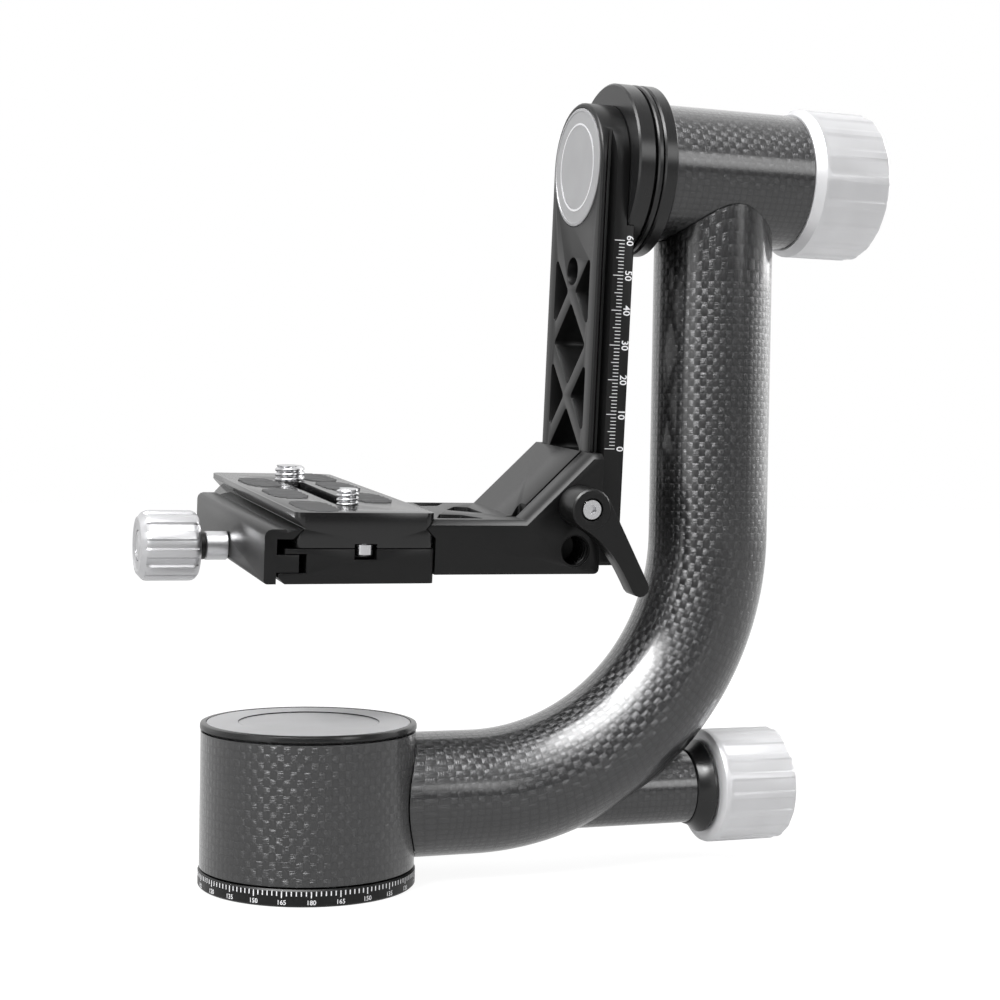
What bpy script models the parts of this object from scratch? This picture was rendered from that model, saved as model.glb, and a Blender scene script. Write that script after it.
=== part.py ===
"""Cantilever camera mount: a carbon side-mount gimbal head with a swinging arm.

The origin is the centre of the foot's underside, on the panning axis. +Z is up, and +X points from the
foot to the upright tube. The arm tilts about an axis along X, high up at TILT_HEIGHT.
"""

from math import cos, pi, radians, sin, sqrt

import bmesh
import bpy
from mathutils import Matrix, Vector

MM = 0.001

# Fits that several pieces share
SEAT_GAP = 0.3 * MM
OVERRUN = 2.0 * MM
EDGE = 0.5 * MM

# How finely round things are cut
ROUND_STEPS = 40
SMALL_STEPS = 20
TINY_STEPS = 12
CORNER_STEPS = 3
PHASE_SHARE = 0.21

# Foot and spindle
FOOT_RADIUS = 30.4 * MM
FOOT_HEIGHT = 4.7 * MM
PAN_GROOVE = 0.6 * MM
SOCKET_RADIUS = 4.76 * MM
BUSH_WALL = 1.8 * MM
BUSH_HEIGHT = 9.6 * MM
SPINDLE_FLANGE_RADIUS = 14.5 * MM
SPINDLE_FLANGE_HEIGHT = 3.0 * MM
DRUM_RADIUS = 11.0 * MM
SPINDLE_NECK_RADIUS = 8.0 * MM
BEARING_HEIGHT = 5.0 * MM
BEARING_WALL = 6.4 * MM
NUT_HEIGHT = 3.0 * MM
NUT_WALL = 3.8 * MM
NECK_TIP = 0.6 * MM

# Panning housing
SLEEVE_RADIUS = 30.1 * MM
SLEEVE_WALL = 0.9 * MM
CAP_TOP = 45.4 * MM
CAP_HEIGHT = 2.1 * MM
CAP_RADIUS = 30.3 * MM
CAP_LEDGE = 1.7 * MM
CAP_RECESS = 0.8 * MM
DISC_PLAY = 0.15 * MM
CIRCLE_SHARE = 0.695
CIRCLE_WIDTH = 0.35 * MM
CIRCLE_DEPTH = 0.15 * MM
CAP_SCREWS = 3
CAP_SCREW_CIRCLE = 22.0 * MM
CAP_SCREW_HEAD = 2.4 * MM
CAP_SCREW_SHANK = 1.2 * MM
CAP_SCREW_LENGTH = 7.0 * MM

# Bent tube
TUBE_RADIUS = 17.8 * MM
TUBE_WALL = 1.6 * MM
RUN_HEIGHT = 23.3 * MM
BEND_RADIUS = 74.6 * MM
BEND_STEPS = 14
TUBE_STEPS = 28
SPIGOT_LENGTH = 14.0 * MM
TILT_HEIGHT = 205.9 * MM

# Pan lock
LOCK_DROP = 1.5 * MM
LOCK_TUBE_RADIUS = 10.8 * MM
LOCK_TUBE_WALL = 1.2 * MM
LOCK_TUBE_END = 116.1 * MM
LOCK_TUBE_SEAT = 12.0 * MM
PAN_ROD_RADIUS = 3.0 * MM
PAN_PAD_RADIUS = 4.5 * MM
PAN_PAD_LENGTH = 5.0 * MM
COLLAR_RADIUS = 11.0 * MM
COLLAR_RIM_RADIUS = 13.8 * MM
COLLAR_LENGTH = 5.2 * MM
COLLAR_RIM = 1.2 * MM
COLLAR_PLUG = 10.0 * MM
PAN_KNOB_RADIUS = 17.0 * MM
PAN_KNOB_LENGTH = 24.1 * MM
PAN_KNOB_HUB = 18.0 * MM
PAN_KNOB_FLUTES = 18
PAN_KNOB_FLUTE_DEPTH = 0.45 * MM

# Knobs in general
KNOB_CHAMFER = 1.2 * MM
KNOB_EDGE = 0.7 * MM
KNOB_CAP_SHARE = 0.45
KNOB_CAP_HEIGHT = 1.0 * MM
FLUTE_LAND_SHARE = 0.4
FLUTE_POINTS = 4

# Cross tube and its housing
CROSS_RADIUS = 20.2 * MM
CROSS_WALL = 1.0 * MM
CROSS_LENGTH = 46.3 * MM
UPPER_SPIGOT_DEPTH = 38.0 * MM
SHAFT_RADIUS = 8.0 * MM
SHAFT_TIP_RADIUS = 6.0 * MM
SHAFT_PLAY = 1.4 * MM
LEFT_BEARING_WALL = 5.7 * MM
RIGHT_BEARING_WALL = 6.4 * MM
RIGHT_POCKET_DEPTH = 19.5 * MM
SHAFT_NUT_HEIGHT = 3.0 * MM
SHAFT_NUT_WALL = 4.5 * MM
TILT_PAD_RADIUS = 9.0 * MM
TILT_PAD_HEIGHT = 2.5 * MM
END_PLATE_HEIGHT = 4.7 * MM
LOCK_SCREW_RADIUS = 4.0 * MM
LOCK_SCREW_REACH = 15.5 * MM

# Tilt rings, from the arm to the tube
RING_RADIUS = 25.0 * MM
RING_CHAMFER = 0.5 * MM
ROTOR_HEIGHT = 5.3 * MM
ROTOR_GROOVE = 0.7 * MM
WASHER_HEIGHT = 1.7 * MM
WASHER_GROOVE = 0.4 * MM
STATOR_HEIGHT = 4.2 * MM
ROTOR_WEB = 0.7 * MM

# Tilt knob
TILT_KNOB_RADIUS = 22.4 * MM
TILT_KNOB_LENGTH = 24.3 * MM
TILT_KNOB_BEVEL = 3.3 * MM
TILT_KNOB_LIP = 1.7 * MM
TILT_KNOB_LIP_RUN = 2.6 * MM
TILT_KNOB_FLUTES = 18
TILT_KNOB_FLUTE_DEPTH = 0.55 * MM

# Swing arm, in the frame of the tilt axis, with drops counted from that axis
ARM_TILT = radians(4.54)
ARM_FRONT = 78.4 * MM
ARM_DEPTH = 11.3 * MM
ARM_HALF_WIDTH = 18.66 * MM
ARM_DROP = 115.6 * MM
ARM_CORNER = 1.5 * MM
SPOT_DEPTH = 2.7 * MM
RAIL_LIP = 1.3 * MM
RAIL_GROOVE = 3.6 * MM
RAIL_DEPTH = 3.0 * MM
RAIL_FLOOR = 0.8 * MM
RAIL_FRONT_SLOPE = 1.7 * MM
DISC_RADIUS = 17.1 * MM
DISC_HEIGHT = 0.8 * MM
DISC_PROUD = 0.15 * MM
ARM_SCREW_COUNT = 4
ARM_SCREW_CIRCLE = 10.5 * MM
ARM_SCREW_HEAD = 2.9 * MM
ARM_SCREW_HEAD_HEIGHT = 3.0 * MM
ARM_SCREW_SHANK = 1.9 * MM
ARM_SCREW_GRIP = 3.2 * MM

# Truss in the arm
TRUSS_TOP_NODE = 36.2 * MM
TRUSS_LAST_NODE = 17.6 * MM
TRUSS_LEAST_PITCH = 27.0 * MM
TRUSS_HALF = 12.2 * MM
TRUSS_SIDE = 13.4 * MM
TRUSS_RIB = 2.6 * MM
TRUSS_FILLET = 1.2 * MM
SIGHT_HOLE_DROP = 30.3 * MM
SIGHT_HOLE_RADIUS = 4.15 * MM

# Carriage: an L bracket with split jaws that grip the arm
BRACKET_HALF_WIDTH = 24.3 * MM
BRACKET_LOWER = 1.5 * MM
BRACKET_HEIGHT = 15.4 * MM
BRACKET_BEVEL = 1.5 * MM
SLOPE_START = 58.5 * MM
JAW_RISE = 19.2 * MM
JAW_LAND = 0.15 * MM
JAW_BITE = 1.7 * MM
JAW_CORNER = 1.5 * MM
SLIT_OFFSET = 14.0 * MM
SLIT_WIDTH = 1.5 * MM
SLIT_START = 61.0 * MM
RELIEF_LENGTH = 6.0 * MM
RELIEF_WIDTH = 5.5 * MM
ACCESSORY_INSET = 5.1 * MM
ACCESSORY_RISE = 6.7 * MM
ACCESSORY_RADIUS = 4.76 * MM
ACCESSORY_DEPTH = 12.5 * MM
WINDOW_FILLET = 0.8 * MM

# Clamping lever
LEVER_INSET = 5.05 * MM
LEVER_RISE = 4.4 * MM
LEVER_HUB_RADIUS = 5.9 * MM
LEVER_HUB_LENGTH = 11.4 * MM
LEVER_HANDLE_DEPTH = 7.0 * MM
LEVER_SPAN = 27.3 * MM
LEVER_TIP_RADIUS = 2.6 * MM
LEVER_ANGLE = radians(-61.2)
LEVER_FLARE = radians(60.0)
LEVER_FLARE_POWER = 3
LEVER_STEPS = 8
LEVER_SCREW_HEAD = 3.0 * MM
LEVER_SCREW_HEAD_HEIGHT = 1.6 * MM
LEVER_SCREW_SHANK = 1.5 * MM
LEVER_SCREW_SOCKET = 1.15 * MM
LEVER_SOCKET_DEPTH = 0.9 * MM
LEVER_SCREW_SINK = 0.1 * MM
LEVER_FRONT_BORE = 4.5 * MM
LEVER_BACK_BORE = 4.4 * MM
LEVER_STUD_HEAD = 4.1 * MM
LEVER_STUD_HEAD_HEIGHT = 3.8 * MM
LEVER_STUD_SHANK = 2.9 * MM
LEVER_STUD_LENGTH = 22.0 * MM
LEVER_STUD_HOLE = 3.2 * MM
LEVER_SPRING_RADIUS = 2.3 * MM
LEVER_SPRING_WIRE = 0.25 * MM
LEVER_SPRING_TURNS = 2.5

# Quick-release plate
PLATE_CENTRE = 11.3 * MM
PLATE_HALF_WIDTH = 19.9 * MM
PLATE_NECK_INSET = 2.8 * MM
PLATE_LIP = 1.6 * MM
PLATE_ABOVE_BRACKET = 1.9 * MM
PLATE_HEIGHT = 9.7 * MM
PLATE_FRONT = 24.8 * MM
PLATE_LENGTH = 120.0 * MM
PLATE_CORNER = 2.5 * MM
STUD_PLAY = 0.1 * MM
SLOT_BACK = 62.0 * MM
HEAD_RECESS_WIDTH = 15.4 * MM
PLATE_WEB = 5.3 * MM
FRONT_SCREW_Y = -3.7 * MM
REAR_SCREW_Y = 68.0 * MM
FRONT_STUD_RADIUS = 3.175 * MM
REAR_STUD_RADIUS = 4.76 * MM
FRONT_STUD_HEIGHT = 4.4 * MM
REAR_STUD_HEIGHT = 4.7 * MM
FRONT_NECK_RADIUS = 2.4 * MM
REAR_NECK_RADIUS = 4.2 * MM
FRONT_HEAD_RADIUS = 6.0 * MM
REAR_HEAD_RADIUS = 7.2 * MM
SCREW_HEAD_HEIGHT = 2.4 * MM
RETAINER_RADIUS = 4.6 * MM
RETAINER_HEIGHT = 0.6 * MM
STUD_CHAMFER = 0.6 * MM
STOP_RADIUS = 2.6 * MM
STOP_HEIGHT = 3.6 * MM
STOP_INSET = 2.3 * MM
STOP_SHANK = 1.2 * MM
STOP_SHANK_LENGTH = 2.0 * MM
STOP_NOTCH_HEIGHT = 1.1 * MM
STOP_NOTCH_DEPTH = 3.0 * MM
STOP_NOTCH_PLAY = 0.6 * MM

# Quick-release clamp
CLAMP_FRONT = 24.9 * MM
CLAMP_LENGTH = 100.0 * MM
CLAMP_HEIGHT = 9.6 * MM
CLAMP_LEFT = -11.3 * MM
CLAMP_CHAMFER = 1.8 * MM
CLAMP_CORNER = 1.5 * MM
TONGUE_COVER = 1.6 * MM
TONGUE_HEIGHT = 4.8 * MM
TONGUE_REACH = 6.2 * MM
SLOT_CLEAR = 2.1 * MM
JAW_OUTER = -17.0 * MM
JAW_WALL = 3.4 * MM
JAW_SET_BACK = 4.6 * MM
JAW_CREST_WIDTH = 6.1 * MM
JAW_CREST_ROUND = 2.0 * MM
JAW_CREST_DROP = 0.9 * MM
JAW_POCKET_RISE = 2.4 * MM
JAW_FOOT_ROUND = 1.0 * MM
FIXED_JAW_WIDTH = 4.5 * MM
SERRATIONS = 20
SERRATION_DEPTH = 0.7 * MM
SERRATION_WIDTH = 1.2 * MM
SERRATION_RUN = 2.4 * MM
SERRATION_START_SHARE = 0.06
SERRATION_END_SHARE = 0.94

# Clamp knob and what it turns
DRAW_SCREW_COVER = 5.4 * MM
CLAMP_KNOB_RADIUS = 10.4 * MM
CLAMP_KNOB_LENGTH = 17.4 * MM
CLAMP_KNOB_NECK_RADIUS = 3.9 * MM
CLAMP_KNOB_NECK = 2.0 * MM
CLAMP_KNOB_FLUTES = 12
CLAMP_KNOB_FLUTE_DEPTH = 0.6 * MM
CLAMP_KNOB_FACE = 8.4 * MM
CLAMP_KNOB_BEVEL = 1.9 * MM
KNOB_COLLAR_RADIUS = 4.25 * MM
KNOB_COLLAR_LENGTH = 6.5 * MM
DRAW_SCREW_RADIUS = 2.5 * MM
DRAW_SCREW_REACH = 23.4 * MM
DRAW_SCREW_GRIP = 14.0 * MM
GUIDE_PIN_RADIUS = 1.5 * MM
GUIDE_PIN_SPAN = 44.0 * MM
GUIDE_PIN_GRIP = 12.0 * MM
GUIDE_PIN_SINK = 1.3 * MM
JAW_SPRING_RADIUS = 2.15 * MM
JAW_SPRING_WIRE = 0.3 * MM
JAW_SPRING_TURNS = 5
JAW_SPRING_BORE = 6.2 * MM
SPRING_SIDES = 5
SPRING_POINTS = 8
BRACKET_SCREW_AHEAD = 7.6 * MM
BRACKET_SCREW_BEHIND = 5.4 * MM
BRACKET_SCREW_HEAD = 2.4 * MM
BRACKET_SCREW_HEAD_HEIGHT = 3.0 * MM
BRACKET_SCREW_SINK = 3.6 * MM
BRACKET_SCREW_SHANK = 1.5 * MM
BRACKET_SCREW_GRIP = 7.0 * MM

# Places that follow from the sizes above
TRUSS_SPAN = ARM_DROP - TRUSS_LAST_NODE - TRUSS_TOP_NODE
TRUSS_WINDOWS = int(TRUSS_SPAN / TRUSS_LEAST_PITCH)
TRUSS_PITCH = TRUSS_SPAN / TRUSS_WINDOWS
BRACKET_BOTTOM = ARM_DROP + BRACKET_LOWER
BRACKET_TOP = BRACKET_BOTTOM - BRACKET_HEIGHT
JAW_TOP = BRACKET_TOP - JAW_RISE
JAW_REACH = RAIL_LIP + SEAT_GAP + JAW_BITE * RAIL_FRONT_SLOPE / RAIL_DEPTH + JAW_LAND
ACCESSORY_DROP = BRACKET_BOTTOM - ACCESSORY_RISE
LEVER_DROP = BRACKET_TOP - LEVER_RISE
LEVER_X = ARM_FRONT - LEVER_INSET
ACCESSORY_X = ARM_FRONT - ACCESSORY_INSET
PLATE_TOP = BRACKET_TOP - PLATE_ABOVE_BRACKET
PLATE_BOTTOM = PLATE_TOP + PLATE_HEIGHT
SLEEVE_LOW = FOOT_HEIGHT + PAN_GROOVE
SLEEVE_HIGH = CAP_TOP - CAP_HEIGHT - SEAT_GAP
LOCK_HEIGHT = RUN_HEIGHT - LOCK_DROP
SPIGOT_RADIUS = TUBE_RADIUS - TUBE_WALL - SEAT_GAP
ARM_REAR = ARM_FRONT + ARM_DEPTH
SPOT_FACE = ARM_REAR - SPOT_DEPTH
ROTOR_LEFT = SPOT_FACE + SEAT_GAP
ROTOR_RIGHT = ROTOR_LEFT + ROTOR_HEIGHT
WASHER_LEFT = ROTOR_RIGHT + ROTOR_GROOVE
WASHER_RIGHT = WASHER_LEFT + WASHER_HEIGHT
STATOR_LEFT = WASHER_RIGHT + WASHER_GROOVE
STATOR_RIGHT = STATOR_LEFT + STATOR_HEIGHT
CROSS_LEFT = STATOR_RIGHT + SEAT_GAP
CROSS_RIGHT = CROSS_LEFT + CROSS_LENGTH
UPRIGHT_X = CROSS_LEFT + CROSS_LENGTH / 2
TILT_KNOB_LEFT = CROSS_RIGHT + SEAT_GAP
RUN_END = UPRIGHT_X - BEND_RADIUS
PLATE_LEFT = PLATE_CENTRE - PLATE_HALF_WIDTH
PLATE_RIGHT = PLATE_CENTRE + PLATE_HALF_WIDTH
BRACKET_LEFT = PLATE_RIGHT + SEAT_GAP
CLAMP_TOP = PLATE_BOTTOM + SEAT_GAP
CLAMP_BOTTOM = CLAMP_TOP + CLAMP_HEIGHT
TONGUE_TOP = CLAMP_TOP + TONGUE_COVER
JAW_CREST = PLATE_TOP + JAW_SET_BACK
JAW_POCKET_TOP = PLATE_BOTTOM - JAW_POCKET_RISE
CLAMP_KNOB_DROP = CLAMP_TOP + DRAW_SCREW_COVER
CLAMP_BACK = CLAMP_LENGTH - CLAMP_FRONT
CLAMP_MIDDLE = CLAMP_BACK - CLAMP_LENGTH / 2
JAW_INNER = JAW_OUTER + JAW_WALL
TONGUE_TIP = JAW_INNER + TONGUE_REACH
SLOT_FLOOR = TONGUE_TIP + SLOT_CLEAR
TONGUE_MIDDLE = TONGUE_TOP + TONGUE_HEIGHT / 2

# Ways to turn a shape that was drawn about +Z
UPRIGHT = (0, 0, 0)
ALONG_X = (pi / 2, 0, pi / 2)
ALONG_Y = (pi / 2, 0, 0)


def clear_scene():
    for thing in list(bpy.data.objects):
        bpy.data.objects.remove(thing)


def finish(name, colour, roughness, metallic):
    look = bpy.data.materials.new(name)
    look.use_nodes = True
    shader = look.node_tree.nodes["Principled BSDF"]
    shader.inputs["Base Color"].default_value = (*colour, 1.0)
    shader.inputs["Roughness"].default_value = roughness
    shader.inputs["Metallic"].default_value = metallic
    look.diffuse_color = (*colour, 1.0)
    return look


FINISHES = {
    "carbon": ((0.035, 0.035, 0.04), 0.25, 0.0),
    "black": ((0.02, 0.02, 0.022), 0.45, 0.6),
    "silver": ((0.62, 0.63, 0.64), 0.35, 0.9),
    "label": ((0.45, 0.45, 0.46), 0.5, 0.3),
    "steel": ((0.5, 0.5, 0.5), 0.3, 1.0),
    "dark_steel": ((0.06, 0.06, 0.065), 0.4, 0.9),
    "core": ((0.3, 0.31, 0.32), 0.5, 0.9),
    "bronze": ((0.35, 0.22, 0.1), 0.45, 0.9),
    "pad": ((0.25, 0.2, 0.14), 0.7, 0.0),
}


def axis_frame(name, place, parent=None, turn=(0, 0, 0)):
    """An empty on an axis, which carries the pieces that move about it or along it."""
    frame = bpy.data.objects.new(name, None)
    frame.location = place
    frame.rotation_euler = turn
    frame.parent = parent
    bpy.context.scene.collection.objects.link(frame)
    return frame


def put(name, shape, look, frame, place=(0, 0, 0), turn=UPRIGHT):
    """Makes a named object from a bmesh, in its own material, under the frame that carries it."""
    bmesh.ops.recalc_face_normals(shape, faces=shape.faces)
    mesh = bpy.data.meshes.new(name)
    shape.to_mesh(mesh)
    shape.free()
    mesh.shade_smooth()
    mesh.set_sharp_from_angle(angle=radians(30))
    mesh.materials.append(finish(name, *FINISHES[look]))
    piece = bpy.data.objects.new(name, mesh)
    piece.location = place
    piece.rotation_euler = turn
    piece.parent = frame
    bpy.context.scene.collection.objects.link(piece)
    return piece


def put_each(name, shape_of, look, frame, spots, turn=UPRIGHT):
    """Identical pieces at several spots, numbered from 1."""
    for number, spot in enumerate(spots, 1):
        put(f"{name}_{number}", shape_of(), look, frame, spot, turn)


def helper(shape, frame, place=(0, 0, 0), turn=UPRIGHT):
    """A cutter or a lump to join, which isn't a piece of its own."""
    tool = put("helper", shape, "core", frame, place, turn)
    tool.hide_render = True
    tool.display_type = "WIRE"
    return tool


def boolean(piece, tool, operation):
    step = piece.modifiers.new(operation.lower(), "BOOLEAN")
    step.operation = operation
    step.solver = "EXACT"
    step.object = tool


def cut(piece, *tools):
    for tool in tools:
        boolean(piece, tool, "DIFFERENCE")


def join(piece, *tools):
    for tool in tools:
        boolean(piece, tool, "UNION")


def drill(piece, shape_of, frame, spots, turn=UPRIGHT):
    """Cuts the same hole at several spots."""
    cut(piece, *[helper(shape_of(), frame, spot, turn) for spot in spots])


def skin(shape, rings, solid):
    """Joins each ring to the next with faces. A solid has flat ends, a hollow one closes on itself."""
    pairs = list(zip(rings, rings[1:]))
    if solid:
        shape.faces.new(rings[0])
        shape.faces.new(rings[-1])
    else:
        pairs.append((rings[-1], rings[0]))
    for here, there in pairs:
        for i in range(len(here)):
            j = (i + 1) % len(here)
            shape.faces.new([here[i], here[j], there[j], there[i]])


def turned(profile, steps=ROUND_STEPS):
    """Turns an outline of (radius, height) points about +Z; one that starts on the axis ends there."""
    shape = bmesh.new()
    solid = profile[0][0] == 0
    angles = [2 * pi * (i + PHASE_SHARE) / steps for i in range(steps)]
    rings = [
        [shape.verts.new((radius * cos(a), radius * sin(a), height)) for a in angles]
        for radius, height in (profile[1:-1] if solid else profile)
    ]
    skin(shape, rings, solid)
    return shape


def cap_head_screw(head, shank, start, shoulder, tip):
    """The outline of a screw whose head begins at start."""
    return [(0, start), (head, start), (head, shoulder), (shank, shoulder), (shank, tip), (0, tip)]


def rod(radius, low, high, steps=SMALL_STEPS, edge=0):
    """A cylinder, with chamfered ends where an edge is given."""
    outside = (
        [(radius - edge, low), (radius, low + edge), (radius, high - edge), (radius - edge, high)]
        if edge
        else [(radius, low), (radius, high)]
    )
    return turned([(0, low), *outside, (0, high)], steps)


def ring(inner, outer, low, high, steps=ROUND_STEPS, edge=0):
    """A ring with chamfered outer edges."""
    outside = (
        [(outer - edge, low), (outer, low + edge), (outer, high - edge), (outer - edge, high)]
        if edge
        else [(outer, low), (outer, high)]
    )
    return turned([(inner, low), *outside, (inner, high)], steps)


def rounded(corners, steps=CORNER_STEPS):
    """Replaces each (u, v, radius) corner of an outline by an arc."""
    outline = []
    count = len(corners)
    for i, (u, v, radius) in enumerate(corners):
        here = Vector((u, v))
        if not radius:
            outline.append((u, v))
            continue
        before = (Vector(corners[i - 1][:2]) - here).normalized()
        after = (Vector(corners[(i + 1) % count][:2]) - here).normalized()
        half = before.angle(after) / 2
        middle = here + (before + after).normalized() * radius / sin(half)
        start = here + before * radius / (sin(half) / cos(half)) - middle
        end = here + after * radius / (sin(half) / cos(half)) - middle
        sweep = start.angle_signed(end)
        for k in range(steps + 1):
            arm = start.copy()
            arm.rotate(Matrix.Rotation(-sweep * k / steps, 2))
            outline.append(tuple(middle + arm))
    return outline


def prism(outline, low, high):
    """Extrudes a flat outline along +Z."""
    shape = bmesh.new()
    base = shape.faces.new([shape.verts.new((u, v, low)) for u, v in outline])
    grown = bmesh.ops.extrude_face_region(shape, geom=[base])["geom"]
    risen = [part for part in grown if isinstance(part, bmesh.types.BMVert)]
    bmesh.ops.translate(shape, verts=risen, vec=(0, 0, high - low))
    return shape


def block(low, high):
    """A box between two corners."""
    outline = [(low[0], low[1]), (high[0], low[1]), (high[0], high[1]), (low[0], high[1])]
    return prism(outline, low[2], high[2])


def gather(shapes):
    """Puts several closed shapes into one mesh, to cut with all of them at once."""
    whole = bmesh.new()
    for shape, offset in shapes:
        bmesh.ops.translate(shape, verts=shape.verts, vec=offset)
        mesh = bpy.data.meshes.new("member")
        shape.to_mesh(mesh)
        shape.free()
        whole.from_mesh(mesh)
        bpy.data.meshes.remove(mesh)
    return whole


def spring(radius, wire, length, turns):
    """An open compression spring along +Z, with its ends inside the length."""
    shape = bmesh.new()
    count = round(turns * SPRING_POINTS)
    rise = length - 2 * wire
    rings = []
    for i in range(count + 1):
        angle = 2 * pi * turns * i / count
        outward = Vector((cos(angle), sin(angle), 0))
        centre = outward * radius + Vector((0, 0, wire + rise * i / count))
        around = [2 * pi * k / SPRING_SIDES for k in range(SPRING_SIDES)]
        rings.append(
            [shape.verts.new(centre + wire * (outward * cos(a) + Vector((0, 0, sin(a))))) for a in around]
        )
    skin(shape, rings, True)
    return shape


def fluted(profile, flutes, depth):
    """Turns (radius, height, hollowed) points about +Z, with flutes in the hollowed ones."""
    shape = bmesh.new()
    solid = profile[0][0] == 0
    steps = flutes * FLUTE_POINTS
    rings = []
    for radius, height, hollowed in profile[1:-1] if solid else profile:
        points = []
        for i in range(steps):
            flute, point = divmod(i, FLUTE_POINTS)
            groove_share = (1 - FLUTE_LAND_SHARE) * (point - 1) / (FLUTE_POINTS - 1)
            share = FLUTE_LAND_SHARE + groove_share if point else 0
            hollow = sin(pi * (point - 1) / (FLUTE_POINTS - 1)) if point else 0
            angle = 2 * pi * (flute + share) / flutes
            here = radius - depth * hollow * hollowed
            points.append(shape.verts.new((here * cos(angle), here * sin(angle), height)))
        rings.append(points)
    skin(shape, rings, solid)
    return shape


# Base

def make_foot(frame):
    """The round foot, with a stepped bore for the tripod bush."""
    bore = SOCKET_RADIUS + BUSH_WALL + SEAT_GAP
    put("base_plate", ring(bore, FOOT_RADIUS, 0, FOOT_HEIGHT, edge=EDGE), "black", frame)
    put(
        "tripod_bush",
        ring(SOCKET_RADIUS, SOCKET_RADIUS + BUSH_WALL, 0, BUSH_HEIGHT, SMALL_STEPS),
        "steel",
        frame,
    )


def drum_top():
    return SLEEVE_HIGH - NECK_TIP - NUT_HEIGHT - BEARING_HEIGHT - 3 * SEAT_GAP


def make_spindle(frame):
    """The flanged spindle that the head pans on, with the drum that the brake presses."""
    low = FOOT_HEIGHT + SEAT_GAP
    flange = low + SPINDLE_FLANGE_HEIGHT
    pocket = SOCKET_RADIUS + BUSH_WALL + SEAT_GAP
    roof = BUSH_HEIGHT + SEAT_GAP
    neck = SLEEVE_HIGH - NECK_TIP
    profile = [
        (0, roof),
        (pocket, roof),
        (pocket, low),
        (SPINDLE_FLANGE_RADIUS, low),
        (SPINDLE_FLANGE_RADIUS, flange),
        (DRUM_RADIUS, flange),
        (DRUM_RADIUS, drum_top()),
        (SPINDLE_NECK_RADIUS, drum_top()),
        (SPINDLE_NECK_RADIUS, neck),
        (0, neck),
    ]
    put("pan_spindle", turned(profile), "steel", frame)
    lower = flange + SEAT_GAP
    inner = DRUM_RADIUS + SEAT_GAP
    put(
        "pan_bearing_lower",
        ring(inner, inner + BEARING_WALL, lower, lower + BEARING_HEIGHT),
        "bronze",
        frame,
    )
    upper = drum_top() + SEAT_GAP
    inner = SPINDLE_NECK_RADIUS + SEAT_GAP
    put(
        "pan_bearing_upper",
        ring(inner, inner + BEARING_WALL, upper, upper + BEARING_HEIGHT),
        "bronze",
        frame,
    )
    nut = upper + BEARING_HEIGHT + SEAT_GAP
    put("spindle_nut", ring(inner, inner + NUT_WALL, nut, nut + NUT_HEIGHT, SMALL_STEPS), "steel", frame)


# Panning housing

def make_base_housing(frame):
    """The core: bearing pockets, a bore round the drum, and the spigot that carries the bent tube."""
    outside = SLEEVE_RADIUS - SLEEVE_WALL - SEAT_GAP
    lower_pocket = DRUM_RADIUS + BEARING_WALL + 2 * SEAT_GAP
    lower_roof = FOOT_HEIGHT + SPINDLE_FLANGE_HEIGHT + BEARING_HEIGHT + 3 * SEAT_GAP
    upper_pocket = SPINDLE_NECK_RADIUS + BEARING_WALL + 2 * SEAT_GAP
    drum_bore = DRUM_RADIUS + 2 * SEAT_GAP
    core = put(
        "base_housing",
        turned(
            [
                (lower_pocket, SLEEVE_LOW),
                (outside, SLEEVE_LOW),
                (outside, SLEEVE_HIGH),
                (upper_pocket, SLEEVE_HIGH),
                (upper_pocket, drum_top()),
                (drum_bore, drum_top()),
                (drum_bore, lower_roof),
                (lower_pocket, lower_roof),
            ]
        ),
        "core",
        frame,
    )
    spigot_start = (outside + lower_pocket) / 2
    spigot_end = SLEEVE_RADIUS + SPIGOT_LENGTH
    join(
        core,
        helper(
            rod(SPIGOT_RADIUS, spigot_start, spigot_end, TUBE_STEPS), frame, (0, 0, RUN_HEIGHT), ALONG_X
        ),
    )
    lock = (0, 0, LOCK_HEIGHT)
    seat = spigot_end - LOCK_TUBE_SEAT
    cut(
        core,
        helper(rod(LOCK_TUBE_RADIUS + SEAT_GAP, seat, spigot_end + OVERRUN), frame, lock, ALONG_X),
        helper(rod(PAN_ROD_RADIUS + SEAT_GAP, 0, seat + OVERRUN, TINY_STEPS), frame, lock, ALONG_X),
        helper(rod(PAN_PAD_RADIUS + SEAT_GAP, 0, pad_seat_end(), SMALL_STEPS), frame, lock, ALONG_X),
    )
    drill(core, cap_screw_hole, frame, cap_screw_spots())


def pad_seat_end():
    """Where the brake pad's bore ends, with room for the pad to draw back."""
    return DRUM_RADIUS + PAN_PAD_LENGTH + 8 * SEAT_GAP


def cap_screw_spots():
    angles = [2 * pi * (i + 0.5) / CAP_SCREWS for i in range(CAP_SCREWS)]
    return [(CAP_SCREW_CIRCLE * cos(a), CAP_SCREW_CIRCLE * sin(a), 0) for a in angles]


def cap_floor():
    return CAP_TOP - CAP_RECESS


def cap_screw_hole():
    head = CAP_SCREW_HEAD + SEAT_GAP
    shank = CAP_SCREW_SHANK + SEAT_GAP
    top = cap_floor()
    bottom = top - CAP_SCREW_LENGTH - SEAT_GAP
    profile = [
        (0, bottom),
        (shank, bottom),
        (shank, top - head + shank),
        (head, top),
        (head, top + OVERRUN),
        (0, top + OVERRUN),
    ]
    return turned(profile, TINY_STEPS)


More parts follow.
